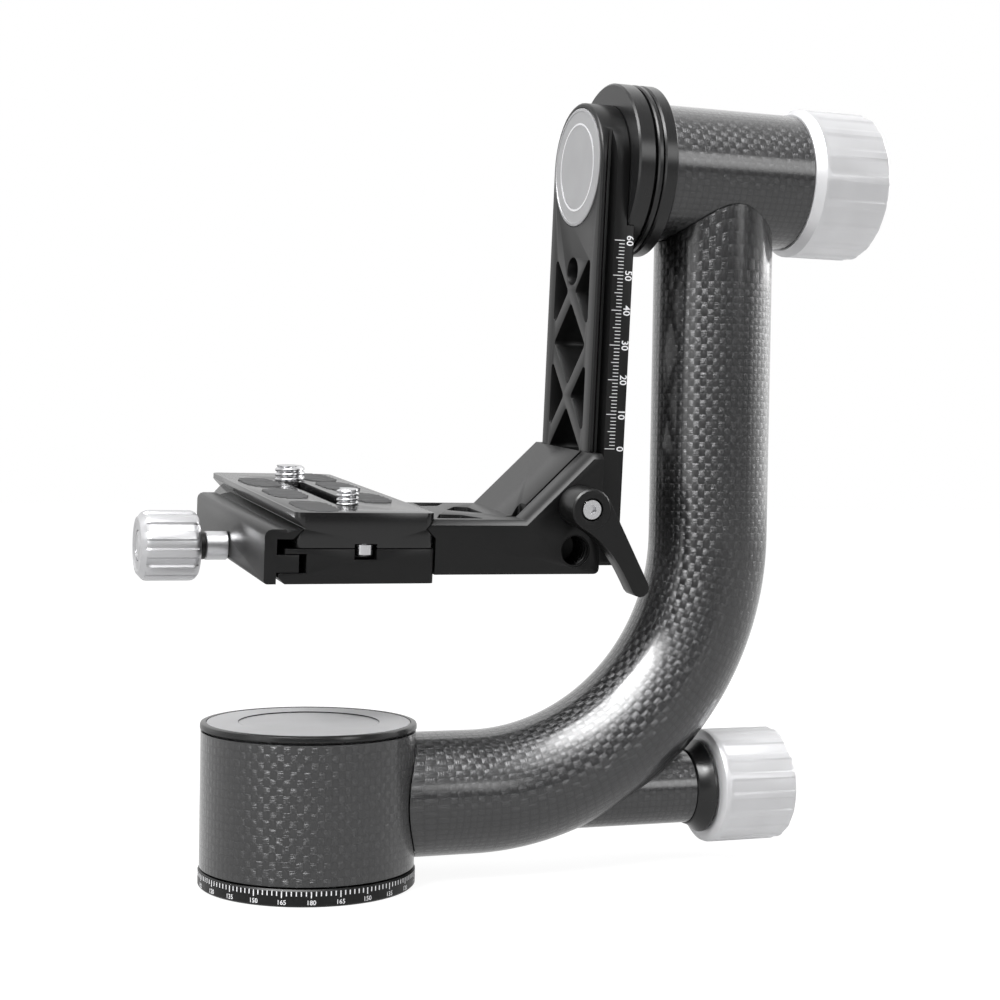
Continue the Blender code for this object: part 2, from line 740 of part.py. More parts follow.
def make_cap(frame):
    """Sleeve, cap with its recess, countersunk screws under the inlaid disc, and the disc."""
    shell = ring(SLEEVE_RADIUS - SLEEVE_WALL, SLEEVE_RADIUS, SLEEVE_LOW, SLEEVE_HIGH)
    sleeve = put("base_sleeve", shell, "carbon", frame)
    opening = rod(SPIGOT_RADIUS + SEAT_GAP, 0, SLEEVE_RADIUS + OVERRUN, TUBE_STEPS)
    cut(sleeve, helper(opening, frame, (0, 0, RUN_HEIGHT), ALONG_X))
    low = CAP_TOP - CAP_HEIGHT
    recess = CAP_RADIUS - CAP_LEDGE
    cap = put(
        "cap_rim",
        turned(
            [
                (0, low),
                (CAP_RADIUS - EDGE, low),
                (CAP_RADIUS, low + EDGE),
                (CAP_RADIUS, CAP_TOP - EDGE),
                (CAP_RADIUS - EDGE, CAP_TOP),
                (recess, CAP_TOP),
                (recess, cap_floor()),
                (0, cap_floor()),
            ]
        ),
        "black",
        frame,
    )
    drill(cap, cap_screw_hole, frame, cap_screw_spots())
    top = cap_floor() - DISC_PLAY
    bottom = top - CAP_SCREW_LENGTH
    profile = [
        (0, bottom),
        (CAP_SCREW_SHANK, bottom),
        (CAP_SCREW_SHANK, top - CAP_SCREW_HEAD + CAP_SCREW_SHANK),
        (CAP_SCREW_HEAD, top),
        (0, top),
    ]
    put_each("cap_screw", lambda: turned(profile, TINY_STEPS), "steel", frame, cap_screw_spots())
    put("cap_disc", inlay(recess - SEAT_GAP, cap_floor() + SEAT_GAP, CAP_TOP - DISC_PLAY), "label", frame)


def inlay(radius, low, high):
    """A label disc with an engraved circle in its top."""
    circle = radius * CIRCLE_SHARE
    floor = high - CIRCLE_DEPTH
    return turned(
        [
            (0, low),
            (radius, low),
            (radius, high),
            (circle + CIRCLE_WIDTH, high),
            (circle + CIRCLE_WIDTH / 2, floor),
            (circle, high),
            (0, high),
        ]
    )


# Bent tube

def bend_points(run_start, upright_end):
    """Centre line and heading: along the run, round the bend and up to the cross tube."""
    points = [((run_start, RUN_HEIGHT), 0)]
    for i in range(BEND_STEPS + 1):
        angle = pi / 2 * i / BEND_STEPS
        place = (RUN_END + BEND_RADIUS * sin(angle), RUN_HEIGHT + BEND_RADIUS * (1 - cos(angle)))
        points.append((place, angle))
    points.append(((UPRIGHT_X, upright_end), pi / 2))
    return points


def bent_tube(radius, wall, run_start, upright_end):
    """A tube with a wall, swept along the bend."""
    shape = bmesh.new()
    rings = []
    points = bend_points(run_start, upright_end)
    for size, path in ((radius, points), (radius - wall, points[::-1])):
        for (x, z), heading in path:
            inward = Vector((-sin(heading), 0, cos(heading)))
            around = [2 * pi * (i + PHASE_SHARE) / TUBE_STEPS for i in range(TUBE_STEPS)]
            rings.append(
                [
                    shape.verts.new(Vector((x, 0, z)) + size * (inward * cos(a) + Vector((0, sin(a), 0))))
                    for a in around
                ]
            )
    skin(shape, rings, False)
    return shape


def make_bent_tube(frame):
    """Coped to the sleeve at its foot and to the cross tube at its top, with a hole for the lock tube."""
    tube = put("j_tube", bent_tube(TUBE_RADIUS, TUBE_WALL, 0, TILT_HEIGHT), "carbon", frame)
    saddle_low = rod(
        SLEEVE_RADIUS + SEAT_GAP,
        RUN_HEIGHT - TUBE_RADIUS - OVERRUN,
        RUN_HEIGHT + TUBE_RADIUS + OVERRUN,
        ROUND_STEPS,
    )
    saddle_high = rod(CROSS_RADIUS + SEAT_GAP, CROSS_LEFT - OVERRUN, CROSS_RIGHT + OVERRUN, ROUND_STEPS)
    outlet = rod(LOCK_TUBE_RADIUS + SEAT_GAP, RUN_END, LOCK_TUBE_END + TUBE_RADIUS)
    cut(
        tube,
        helper(saddle_low, frame),
        helper(saddle_high, frame, (0, 0, TILT_HEIGHT), ALONG_X),
        helper(outlet, frame, (0, 0, LOCK_HEIGHT), ALONG_X),
    )


# Pan lock

def make_pan_lock(frame, rod_frame, knob_frame):
    """Tube and collar stay on the housing; pad and rod slide; the knob turns on the rod."""
    tube_start = SLEEVE_RADIUS + SPIGOT_LENGTH - LOCK_TUBE_SEAT + SEAT_GAP
    inner = LOCK_TUBE_RADIUS - LOCK_TUBE_WALL
    lock = (0, 0, LOCK_HEIGHT)
    put(
        "lock_tube",
        ring(inner, LOCK_TUBE_RADIUS, tube_start, LOCK_TUBE_END, SMALL_STEPS),
        "carbon",
        frame,
        lock,
        ALONG_X,
    )
    left = LOCK_TUBE_END + SEAT_GAP
    right = left + COLLAR_LENGTH
    bore = PAN_ROD_RADIUS + SEAT_GAP
    plug = inner - SEAT_GAP
    collar = turned(
        [
            (bore, left - COLLAR_PLUG),
            (plug, left - COLLAR_PLUG),
            (plug, left),
            (COLLAR_RADIUS, left),
            (COLLAR_RADIUS, left + COLLAR_RIM),
            (COLLAR_RIM_RADIUS, right - COLLAR_RIM),
            (COLLAR_RIM_RADIUS, right),
            (bore, right),
        ],
        SMALL_STEPS,
    )
    put("lock_collar", collar, "black", frame, lock, ALONG_X)
    pad_left = DRUM_RADIUS + SEAT_GAP
    pad_right = pad_left + PAN_PAD_LENGTH
    put(
        "pan_brake_pad",
        rod(PAN_PAD_RADIUS, pad_left, pad_right, SMALL_STEPS),
        "pad",
        rod_frame,
        turn=ALONG_X,
    )
    knob_left = right + SEAT_GAP * 2
    rod_right = knob_left + PAN_KNOB_HUB
    put(
        "pan_lock_rod",
        rod(PAN_ROD_RADIUS, pad_right + SEAT_GAP, rod_right, TINY_STEPS),
        "steel",
        rod_frame,
        turn=ALONG_X,
    )
    end = knob_left + PAN_KNOB_LENGTH
    radius = PAN_KNOB_RADIUS
    put(
        "pan_knob",
        fluted(
            [
                (0, rod_right + SEAT_GAP, 0),
                (bore, rod_right + SEAT_GAP, 0),
                (bore, knob_left, 0),
                (radius - EDGE * 2, knob_left, 0),
                (radius, knob_left + EDGE * 2, 0),
                (radius, knob_left + KNOB_CHAMFER * 2, 0),
                (radius, knob_left + KNOB_CHAMFER * 3, 1),
                (radius, end - KNOB_EDGE, 1),
                (radius - KNOB_EDGE, end, 0),
                (0, end, 0),
            ],
            PAN_KNOB_FLUTES,
            PAN_KNOB_FLUTE_DEPTH,
        ),
        "silver",
        knob_frame,
        turn=ALONG_X,
    )


# Cross tube

def make_cross_tube(frame):
    """Carbon tube, its core with a spigot down the bent tube, bearings, rings and end plate."""
    high = (0, 0, TILT_HEIGHT)
    inner = CROSS_RADIUS - CROSS_WALL
    tube = put(
        "top_tube", ring(inner, CROSS_RADIUS, CROSS_LEFT, CROSS_RIGHT), "carbon", frame, high, ALONG_X
    )
    down = TILT_HEIGHT - CROSS_RADIUS - OVERRUN
    cut(
        tube,
        helper(rod(SPIGOT_RADIUS + SEAT_GAP, down, TILT_HEIGHT, TUBE_STEPS), frame, (UPRIGHT_X, 0, 0)),
    )
    outside = inner - SEAT_GAP
    left_pocket = SHAFT_RADIUS + LEFT_BEARING_WALL + 2 * SEAT_GAP
    left_floor = CROSS_LEFT + BEARING_HEIGHT + 2 * SEAT_GAP
    right_pocket = SHAFT_RADIUS + RIGHT_BEARING_WALL + 2 * SEAT_GAP
    right_floor = CROSS_RIGHT - RIGHT_POCKET_DEPTH
    shaft_bore = SHAFT_RADIUS + SHAFT_PLAY
    profile = [
        (left_pocket, CROSS_LEFT),
        (outside, CROSS_LEFT),
        (outside, CROSS_RIGHT),
        (right_pocket, CROSS_RIGHT),
        (right_pocket, right_floor),
        (shaft_bore, right_floor),
        (shaft_bore, left_floor),
        (left_pocket, left_floor),
    ]
    core = put("tilt_housing", turned(profile), "core", frame, high, ALONG_X)
    spigot_low = TILT_HEIGHT - UPPER_SPIGOT_DEPTH
    spigot_high = TILT_HEIGHT - (right_pocket + outside) / 2
    join(core, helper(rod(SPIGOT_RADIUS, spigot_low, spigot_high, TUBE_STEPS), frame, (UPRIGHT_X, 0, 0)))
    left_low = CROSS_LEFT + SEAT_GAP
    bearing = SHAFT_RADIUS + SEAT_GAP
    put(
        "tilt_bearing_left",
        ring(bearing, bearing + LEFT_BEARING_WALL, left_low, left_low + BEARING_HEIGHT),
        "bronze",
        frame,
        high,
        ALONG_X,
    )
    right_low = right_floor + SEAT_GAP
    put(
        "tilt_bearing_right",
        ring(bearing, bearing + RIGHT_BEARING_WALL, right_low, right_low + BEARING_HEIGHT),
        "bronze",
        frame,
        high,
        ALONG_X,
    )
    put(
        "stator_ring",
        ring(SHAFT_RADIUS + SEAT_GAP, RING_RADIUS, STATOR_LEFT, STATOR_RIGHT, edge=RING_CHAMFER),
        "black",
        frame,
        high,
        ALONG_X,
    )
    put(
        "thrust_washer",
        ring(SHAFT_RADIUS + SEAT_GAP, RING_RADIUS, WASHER_LEFT, WASHER_RIGHT, edge=RING_CHAMFER),
        "black",
        frame,
        high,
        ALONG_X,
    )
    plate = ring(
        LOCK_SCREW_RADIUS + SEAT_GAP, right_pocket - SEAT_GAP, CROSS_RIGHT - END_PLATE_HEIGHT, CROSS_RIGHT
    )
    put("tilt_end_plate", plate, "core", frame, high, ALONG_X)


def shaft_end():
    """The right end of the tilt shaft, just past its nut."""
    bearing_right = CROSS_RIGHT - RIGHT_POCKET_DEPTH + BEARING_HEIGHT + SEAT_GAP
    return bearing_right + SHAFT_NUT_HEIGHT + 2 * SEAT_GAP


def make_tilt_lock(rod_frame, knob_frame):
    """A pad and screw that press on the shaft's end, and the big fluted knob."""
    pad_left = shaft_end() + SEAT_GAP
    pad_right = pad_left + TILT_PAD_HEIGHT
    put(
        "tilt_brake_pad",
        rod(TILT_PAD_RADIUS, pad_left, pad_right, SMALL_STEPS),
        "pad",
        rod_frame,
        turn=ALONG_X,
    )
    tip = TILT_KNOB_LEFT + LOCK_SCREW_REACH
    put(
        "tilt_lock_screw",
        rod(LOCK_SCREW_RADIUS, pad_right + SEAT_GAP, tip, SMALL_STEPS),
        "steel",
        rod_frame,
        turn=ALONG_X,
    )
    end = TILT_KNOB_LEFT + TILT_KNOB_LENGTH
    radius = TILT_KNOB_RADIUS
    bore = LOCK_SCREW_RADIUS + SEAT_GAP
    bevel = TILT_KNOB_LEFT + TILT_KNOB_BEVEL
    put(
        "tilt_knob",
        fluted(
            [
                (0, tip + SEAT_GAP, 0),
                (bore, tip + SEAT_GAP, 0),
                (bore, TILT_KNOB_LEFT, 0),
                (radius - TILT_KNOB_LIP, TILT_KNOB_LEFT, 0),
                (radius, TILT_KNOB_LEFT + TILT_KNOB_LIP_RUN, 0),
                (radius, bevel, 0),
                (radius, bevel + KNOB_CHAMFER, 1),
                (radius, end - KNOB_EDGE, 1),
                (radius - KNOB_EDGE, end, 0),
                (0, end, 0),
            ],
            TILT_KNOB_FLUTES,
            TILT_KNOB_FLUTE_DEPTH,
        ),
        "silver",
        knob_frame,
        turn=ALONG_X,
    )


# Swing arm

def truss_cutters(low, high):
    """Diamonds on the centre line and triangles at the sides, which leave crossing ribs."""
    cutters = []
    for row in range(TRUSS_WINDOWS + 1):
        node = -TRUSS_TOP_NODE - row * TRUSS_PITCH
        for side in (-1, 1):
            tip = side * TRUSS_RIB
            out = side * TRUSS_SIDE
            run = TRUSS_SIDE - TRUSS_RIB
            corners = [
                (tip, node, TRUSS_FILLET),
                (out, node + run, TRUSS_FILLET),
                (out, node - run, TRUSS_FILLET),
            ]
            cutters.append((prism(rounded(corners), low, high), (0, 0, 0)))
    for row in range(TRUSS_WINDOWS):
        middle = -TRUSS_TOP_NODE - (row + 0.5) * TRUSS_PITCH
        corners = [
            (0, middle + TRUSS_HALF, TRUSS_FILLET),
            (TRUSS_HALF, middle, TRUSS_FILLET),
            (0, middle - TRUSS_HALF, TRUSS_FILLET),
            (-TRUSS_HALF, middle, TRUSS_FILLET),
        ]
        cutters.append((prism(rounded(corners), low, high), (0, 0, 0)))
    sight = rod(SIGHT_HOLE_RADIUS, low, high, SMALL_STEPS)
    cutters.append((sight, (0, -SIGHT_HOLE_DROP, 0)))
    return gather(cutters)


def arm_outline(half_width, drop, corner):
    """Straight sides, a round top about the axis and small corners at the foot."""
    angles = [pi * i / ROUND_STEPS * 2 for i in range(ROUND_STEPS // 2 + 1)]
    top = [(half_width * cos(a), half_width * sin(a)) for a in angles]
    foot = rounded(
        [(-half_width, 0, 0), (-half_width, -drop, corner), (half_width, -drop, corner), (half_width, 0, 0)]
    )
    return top + foot[1:-1]


def arm_screw_spots():
    angles = [2 * pi * (i + 0.5) / ARM_SCREW_COUNT for i in range(ARM_SCREW_COUNT)]
    return [(0, ARM_SCREW_CIRCLE * cos(a), ARM_SCREW_CIRCLE * sin(a)) for a in angles]


def rail_groove(side):
    """The V-shaped groove down one side, which the carriage's jaws bite into."""
    mouth = ARM_FRONT + RAIL_LIP
    face = ARM_HALF_WIDTH
    floor = face - RAIL_DEPTH
    bottom = mouth + RAIL_FRONT_SLOPE
    slope = RAIL_GROOVE - RAIL_FRONT_SLOPE - RAIL_FLOOR
    spread = OVERRUN / RAIL_DEPTH
    outline = [
        (mouth - RAIL_FRONT_SLOPE * spread, side * (face + OVERRUN)),
        (bottom, side * floor),
        (bottom + RAIL_FLOOR, side * floor),
        (mouth + RAIL_GROOVE + slope * spread, side * (face + OVERRUN)),
    ]
    return prism(outline, -ARM_DROP - OVERRUN, ARM_HALF_WIDTH + OVERRUN)


def make_arm(frame):
    """Shaft, nut, rotor ring, the arm itself, its screws and the inlaid disc."""
    outline = arm_outline(ARM_HALF_WIDTH, ARM_DROP, ARM_CORNER)
    arm = put("swing_arm", prism(outline, ARM_FRONT, ARM_REAR), "black", frame, turn=ALONG_X)
    bevel = arm.modifiers.new("edge", "BEVEL")
    bevel.width = EDGE
    bevel.segments = 1
    bevel.limit_method = "ANGLE"
    bevel.angle_limit = radians(60)
    pocket_low = ARM_FRONT + DISC_HEIGHT
    head_low = pocket_low + ARM_SCREW_HEAD_HEIGHT + 2 * SEAT_GAP
    cut(
        arm,
        helper(truss_cutters(ARM_FRONT - OVERRUN, ARM_REAR + OVERRUN), frame, turn=ALONG_X),
        helper(rail_groove(1), frame),
        helper(rail_groove(-1), frame),
        helper(
            rod(RING_RADIUS + SEAT_GAP, SPOT_FACE, ARM_REAR + OVERRUN, ROUND_STEPS), frame, turn=ALONG_X
        ),
        helper(
            rod(DISC_RADIUS + SEAT_GAP, ARM_FRONT - OVERRUN, pocket_low, ROUND_STEPS), frame, turn=ALONG_X
        ),
    )
    shank = ARM_SCREW_SHANK + SEAT_GAP
    head = ARM_SCREW_HEAD + SEAT_GAP
    spots = arm_screw_spots()
    drill(arm, lambda: rod(head, pocket_low - OVERRUN / 2, head_low, TINY_STEPS), frame, spots, ALONG_X)
    drill(arm, lambda: rod(shank, head_low - OVERRUN / 2, ARM_REAR, TINY_STEPS), frame, spots, ALONG_X)
    put("arm_disc", inlay_front(), "label", frame, turn=ALONG_X)
    screw_high = ROTOR_LEFT + ARM_SCREW_GRIP
    head_start = pocket_low + SEAT_GAP
    shoulder = head_start + ARM_SCREW_HEAD_HEIGHT
    screw = cap_head_screw(ARM_SCREW_HEAD, ARM_SCREW_SHANK, head_start, shoulder, screw_high)
    put_each("arm_screw", lambda: turned(screw, TINY_STEPS), "steel", frame, spots, ALONG_X)
    shaft_bore = SHAFT_RADIUS + SEAT_GAP
    flange = turned(
        [
            (0, ROTOR_LEFT),
            (RING_RADIUS - RING_CHAMFER, ROTOR_LEFT),
            (RING_RADIUS, ROTOR_LEFT + RING_CHAMFER),
            (RING_RADIUS, ROTOR_RIGHT - RING_CHAMFER),
            (RING_RADIUS - RING_CHAMFER, ROTOR_RIGHT),
            (shaft_bore, ROTOR_RIGHT),
            (shaft_bore, ROTOR_LEFT + ROTOR_WEB),
            (0, ROTOR_LEFT + ROTOR_WEB),
        ]
    )
    rotor = put("rotor_flange", flange, "black", frame, turn=ALONG_X)
    hole_high = screw_high + SEAT_GAP
    drill(rotor, lambda: rod(shank, ROTOR_LEFT - OVERRUN, hole_high, TINY_STEPS), frame, spots, ALONG_X)
    nut_left = shaft_end() - SHAFT_NUT_HEIGHT - SEAT_GAP
    shoulder = nut_left - SEAT_GAP
    shaft = [
        (0, ROTOR_LEFT + ROTOR_WEB + SEAT_GAP),
        (SHAFT_RADIUS, ROTOR_LEFT + ROTOR_WEB + SEAT_GAP),
        (SHAFT_RADIUS, shoulder),
        (SHAFT_TIP_RADIUS, shoulder),
        (SHAFT_TIP_RADIUS, shaft_end()),
        (0, shaft_end()),
    ]
    put("tilt_shaft", turned(shaft, SMALL_STEPS), "steel", frame, turn=ALONG_X)
    nut = ring(
        SHAFT_TIP_RADIUS + SEAT_GAP,
        SHAFT_TIP_RADIUS + SHAFT_NUT_WALL,
        nut_left,
        nut_left + SHAFT_NUT_HEIGHT,
        SMALL_STEPS,
    )
    put("shaft_nut", nut, "steel", frame, turn=ALONG_X)


def inlay_front():
    """The disc in the arm's front, engraved on the side that faces away from the shaft."""
    low = ARM_FRONT - DISC_PROUD
    high = ARM_FRONT + DISC_HEIGHT - SEAT_GAP
    circle = DISC_RADIUS * CIRCLE_SHARE
    return turned(
        [
            (0, high),
            (DISC_RADIUS, high),
            (DISC_RADIUS, low),
            (circle + CIRCLE_WIDTH, low),
            (circle + CIRCLE_WIDTH / 2, low + CIRCLE_DEPTH),
            (circle, low),
            (0, low),
        ]
    )


# Carriage

def neck_depth():
    """How far under the tilt axis the plate's neck lies."""
    return PLATE_TOP + PLATE_LIP + PLATE_NECK_INSET


def fixed_jaw_lip(side_right, tip_gap):
    """The V-shaped lip over the plate's flank, as points from the lip's top to its foot."""
    tip = PLATE_RIGHT - PLATE_NECK_INSET + tip_gap
    rise = neck_depth() - BRACKET_TOP
    fall = side_right - tip
    return [(tip + rise, -BRACKET_TOP), (tip, -neck_depth()), (side_right, -neck_depth() - fall)]


def make_carriage(frame):
    """One solid: platform, slope, front wall, and jaws that reach round the arm into its grooves."""
    front = ARM_FRONT - SEAT_GAP
    right = ARM_FRONT + JAW_REACH
    lip = fixed_jaw_lip(BRACKET_LEFT, sqrt(2) * SEAT_GAP)
    slope = front - SLOPE_START
    side = lip + [
        (BRACKET_LEFT, -BRACKET_BOTTOM),
        *rounded(
            [(BRACKET_LEFT, -BRACKET_BOTTOM, 0), (right, -BRACKET_BOTTOM, JAW_CORNER), (right, -JAW_TOP, 0)]
        )[1:-1],
        (right, -JAW_TOP),
        (front, -JAW_TOP),
        (SLOPE_START, -BRACKET_TOP),
    ]
    body = put(
        "carriage", prism(side, -BRACKET_HALF_WIDTH, BRACKET_HALF_WIDTH), "black", frame, turn=ALONG_Y
    )
    cut(
        body,
        helper(arm_channel(front, right), frame),
        helper(bevel_wedge(1, slope), frame),
        helper(bevel_wedge(-1, slope), frame),
    )
    deep = (-BRACKET_BOTTOM - OVERRUN, -JAW_TOP + OVERRUN)
    slit = block(
        (SLIT_START, -SLIT_OFFSET - SLIT_WIDTH / 2, deep[0]),
        (front + OVERRUN, -SLIT_OFFSET + SLIT_WIDTH / 2, deep[1]),
    )
    relief_end = -SLIT_OFFSET + SLIT_WIDTH / 2
    relief = prism(
        rounded(
            [
                (SLIT_START + OVERRUN / 2, relief_end - SLIT_WIDTH, 0),
                (SLIT_START + OVERRUN / 2, relief_end + RELIEF_WIDTH, WINDOW_FILLET),
                (SLIT_START - RELIEF_LENGTH, relief_end - SLIT_WIDTH, WINDOW_FILLET / 2),
            ]
        ),
        *deep,
    )
    cut(body, helper(slit, frame), helper(relief, frame))
    windows = [(prism(rounded(window), *deep), (0, 0, 0)) for window in platform_windows()]
    cut(body, helper(gather(windows), frame))
    accessory = rod(ACCESSORY_RADIUS, BRACKET_HALF_WIDTH - ACCESSORY_DEPTH, BRACKET_HALF_WIDTH + OVERRUN)
    stud = rod(
        LEVER_STUD_HOLE, BRACKET_HALF_WIDTH - LEVER_STUD_LENGTH - SEAT_GAP, BRACKET_HALF_WIDTH + OVERRUN
    )
    cut(
        body,
        helper(accessory, frame, (ACCESSORY_X, 0, -ACCESSORY_DROP), ALONG_Y),
        helper(stud, frame, (LEVER_X, 0, -LEVER_DROP), ALONG_Y),
    )
    drill(body, bracket_screw_hole, frame, bracket_screw_spots(), ALONG_X)


def arm_channel(front, right):
    """The room for the arm: its width, then narrower where the jaws' lips hook into the grooves."""
    width = ARM_HALF_WIDTH + SEAT_GAP
    hook = ARM_FRONT + RAIL_LIP + SEAT_GAP
    side = [
        (front, width),
        (hook, width),
        (right - JAW_LAND, width - JAW_BITE),
        (right + OVERRUN, width - JAW_BITE),
    ]
    outline = side + [(x, -y) for x, y in reversed(side)]
    return prism(outline, -BRACKET_BOTTOM - OVERRUN, -JAW_TOP + OVERRUN)


def bevel_wedge(hand, slope):
    """Takes the upper outer edge off the platform and the slope."""
    edge = hand * BRACKET_HALF_WIDTH
    inner = hand * (BRACKET_HALF_WIDTH - BRACKET_BEVEL)
    rise = BRACKET_TOP - JAW_TOP
    shape = bmesh.new()
    far = ARM_FRONT + JAW_REACH + OVERRUN
    stations = [
        (BRACKET_LEFT - 2 * PLATE_NECK_INSET, BRACKET_TOP),
        (SLOPE_START, BRACKET_TOP),
        (SLOPE_START + slope, BRACKET_TOP - rise),
        (far, BRACKET_TOP - rise),
    ]
    rings = []
    for x, drop in stations:
        top = -drop + OVERRUN
        points = [
            (edge + hand * OVERRUN, top),
            (inner - hand * OVERRUN, top),
            (edge + hand * OVERRUN, -drop - BRACKET_BEVEL - OVERRUN),
        ]
        rings.append([shape.verts.new((x, y, z)) for y, z in points])
    skin(shape, rings, True)
    return shape


def platform_windows():
    """Three lightening windows in the platform, as shares of its length and half width."""
    start = BRACKET_LEFT
    length = SLOPE_START - BRACKET_LEFT
    half = BRACKET_HALF_WIDTH
    tables_of_shares = (
        ((0.05, -0.83), (0.2, -0.4), (0.43, -0.45), (0.58, -0.83)),
        ((0.42, 0.08), (0.62, 0.46), (0.77, 0.4), (0.75, -0.26)),
        ((0.26, 0.88), (0.62, 0.88), (0.45, 0.54), (0.24, 0.5)),
    )
    return [
        [(start + length * u, half * v, WINDOW_FILLET) for u, v in table] for table in tables_of_shares
    ]


def bracket_screw_spots():
    """One before and one behind the front guide pin."""
    pin = guide_pin_spots()[0][1]
    return [(0, y, -TONGUE_MIDDLE) for y in (pin - BRACKET_SCREW_AHEAD, pin + BRACKET_SCREW_BEHIND)]


def bracket_screw_hole():
    shank = BRACKET_SCREW_SHANK + SEAT_GAP
    head = BRACKET_SCREW_HEAD + SEAT_GAP
    start = SLOT_FLOOR - OVERRUN
    shoulder = SLOT_FLOOR + BRACKET_SCREW_SINK + SEAT_GAP
    tip = BRACKET_LEFT + BRACKET_SCREW_GRIP + SEAT_GAP
    return turned(cap_head_screw(head, shank, start, shoulder, tip), TINY_STEPS)


# Clamping lever

def make_lever(frame):
    """Handle with its hub, and the stud, spring and socket screw inside the hub."""
    back = SEAT_GAP
    front = back + LEVER_HUB_LENGTH
    handle_back = front - LEVER_HANDLE_DEPTH
    handle = put(
        "clamp_lever", rod(LEVER_HUB_RADIUS, back, front, SMALL_STEPS, EDGE), "black", frame, turn=ALONG_Y
    )
    join(handle, helper(prism(lever_outline(), handle_back, front - EDGE / 2), frame, turn=ALONG_Y))
    head_room = front - LEVER_FRONT_BORE
    stud_room = back + LEVER_STUD_HEAD_HEIGHT + 2 * SEAT_GAP
    cut(
        handle,
        helper(rod(LEVER_SCREW_HEAD + SEAT_GAP, head_room, front + OVERRUN), frame, turn=ALONG_Y),
        helper(rod(LEVER_SCREW_SHANK + SEAT_GAP, 0, front, TINY_STEPS), frame, turn=ALONG_Y),
        helper(rod(LEVER_BACK_BORE, -OVERRUN, stud_room), frame, turn=ALONG_Y),
    )
    stud_tip = -LEVER_STUD_LENGTH
    stud_back = back + SEAT_GAP
    stud_front = stud_back + LEVER_STUD_HEAD_HEIGHT
    thread = LEVER_SCREW_SHANK + SEAT_GAP
    stud = [
        (0, stud_tip),
        (LEVER_STUD_SHANK, stud_tip),
        (LEVER_STUD_SHANK, stud_back),
        (LEVER_STUD_HEAD, stud_back),
        (LEVER_STUD_HEAD, stud_front),
        (thread, stud_front),
        (thread, stud_back),
        (0, stud_back),
    ]
    put("lever_stud", turned(stud, SMALL_STEPS), "steel", frame, turn=ALONG_Y)
    head_front = front - LEVER_SCREW_SINK
    head_back = head_front - LEVER_SCREW_HEAD_HEIGHT
    screw = [
        (0, stud_back + SEAT_GAP),
        (LEVER_SCREW_SHANK, stud_back + SEAT_GAP),
        (LEVER_SCREW_SHANK, head_back),
        (LEVER_SCREW_HEAD, head_back),
        (LEVER_SCREW_HEAD, head_front),
        (0, head_front),
    ]
    bolt = put("lever_screw", turned(screw, SMALL_STEPS), "steel", frame, turn=ALONG_Y)
    cut(
        bolt,
        helper(
            rod(LEVER_SCREW_SOCKET, head_front - LEVER_SOCKET_DEPTH, head_front + OVERRUN, 6),
            frame,
            turn=ALONG_Y,
        ),
    )
    room = head_back - head_room - 2 * SEAT_GAP
    coil = spring(LEVER_SPRING_RADIUS, LEVER_SPRING_WIRE, room, LEVER_SPRING_TURNS)
    put("lever_spring", coil, "steel", frame, (0, -head_room - SEAT_GAP, 0), ALONG_Y)


def lever_outline():
    """The handle from the front: a straight flank, and one that curves in from the hub to a round tip."""
    ahead = Vector((cos(LEVER_ANGLE), sin(LEVER_ANGLE)))
    aside = Vector((-ahead.y, ahead.x))
    inner = LEVER_HUB_RADIUS - 2 * LEVER_TIP_RADIUS
    start = LEVER_HUB_RADIUS * cos(LEVER_FLARE)
    drop = LEVER_HUB_RADIUS * sin(LEVER_FLARE) + inner
    points = []
    for i in range(LEVER_STEPS):
        left = 1 - i / LEVER_STEPS
        along = LEVER_SPAN - (LEVER_SPAN - start) * left
        points.append(ahead * along + aside * (inner - drop * left**LEVER_FLARE_POWER))
    middle = ahead * LEVER_SPAN + aside * (inner + LEVER_TIP_RADIUS)
    for i in range(2 * CORNER_STEPS + 1):
        angle = pi * i / (2 * CORNER_STEPS)
        points.append(middle + LEVER_TIP_RADIUS * (ahead * sin(angle) - aside * cos(angle)))
    points.append(aside * LEVER_HUB_RADIUS)
    return [tuple(point) for point in points]


# Quick-release clamp

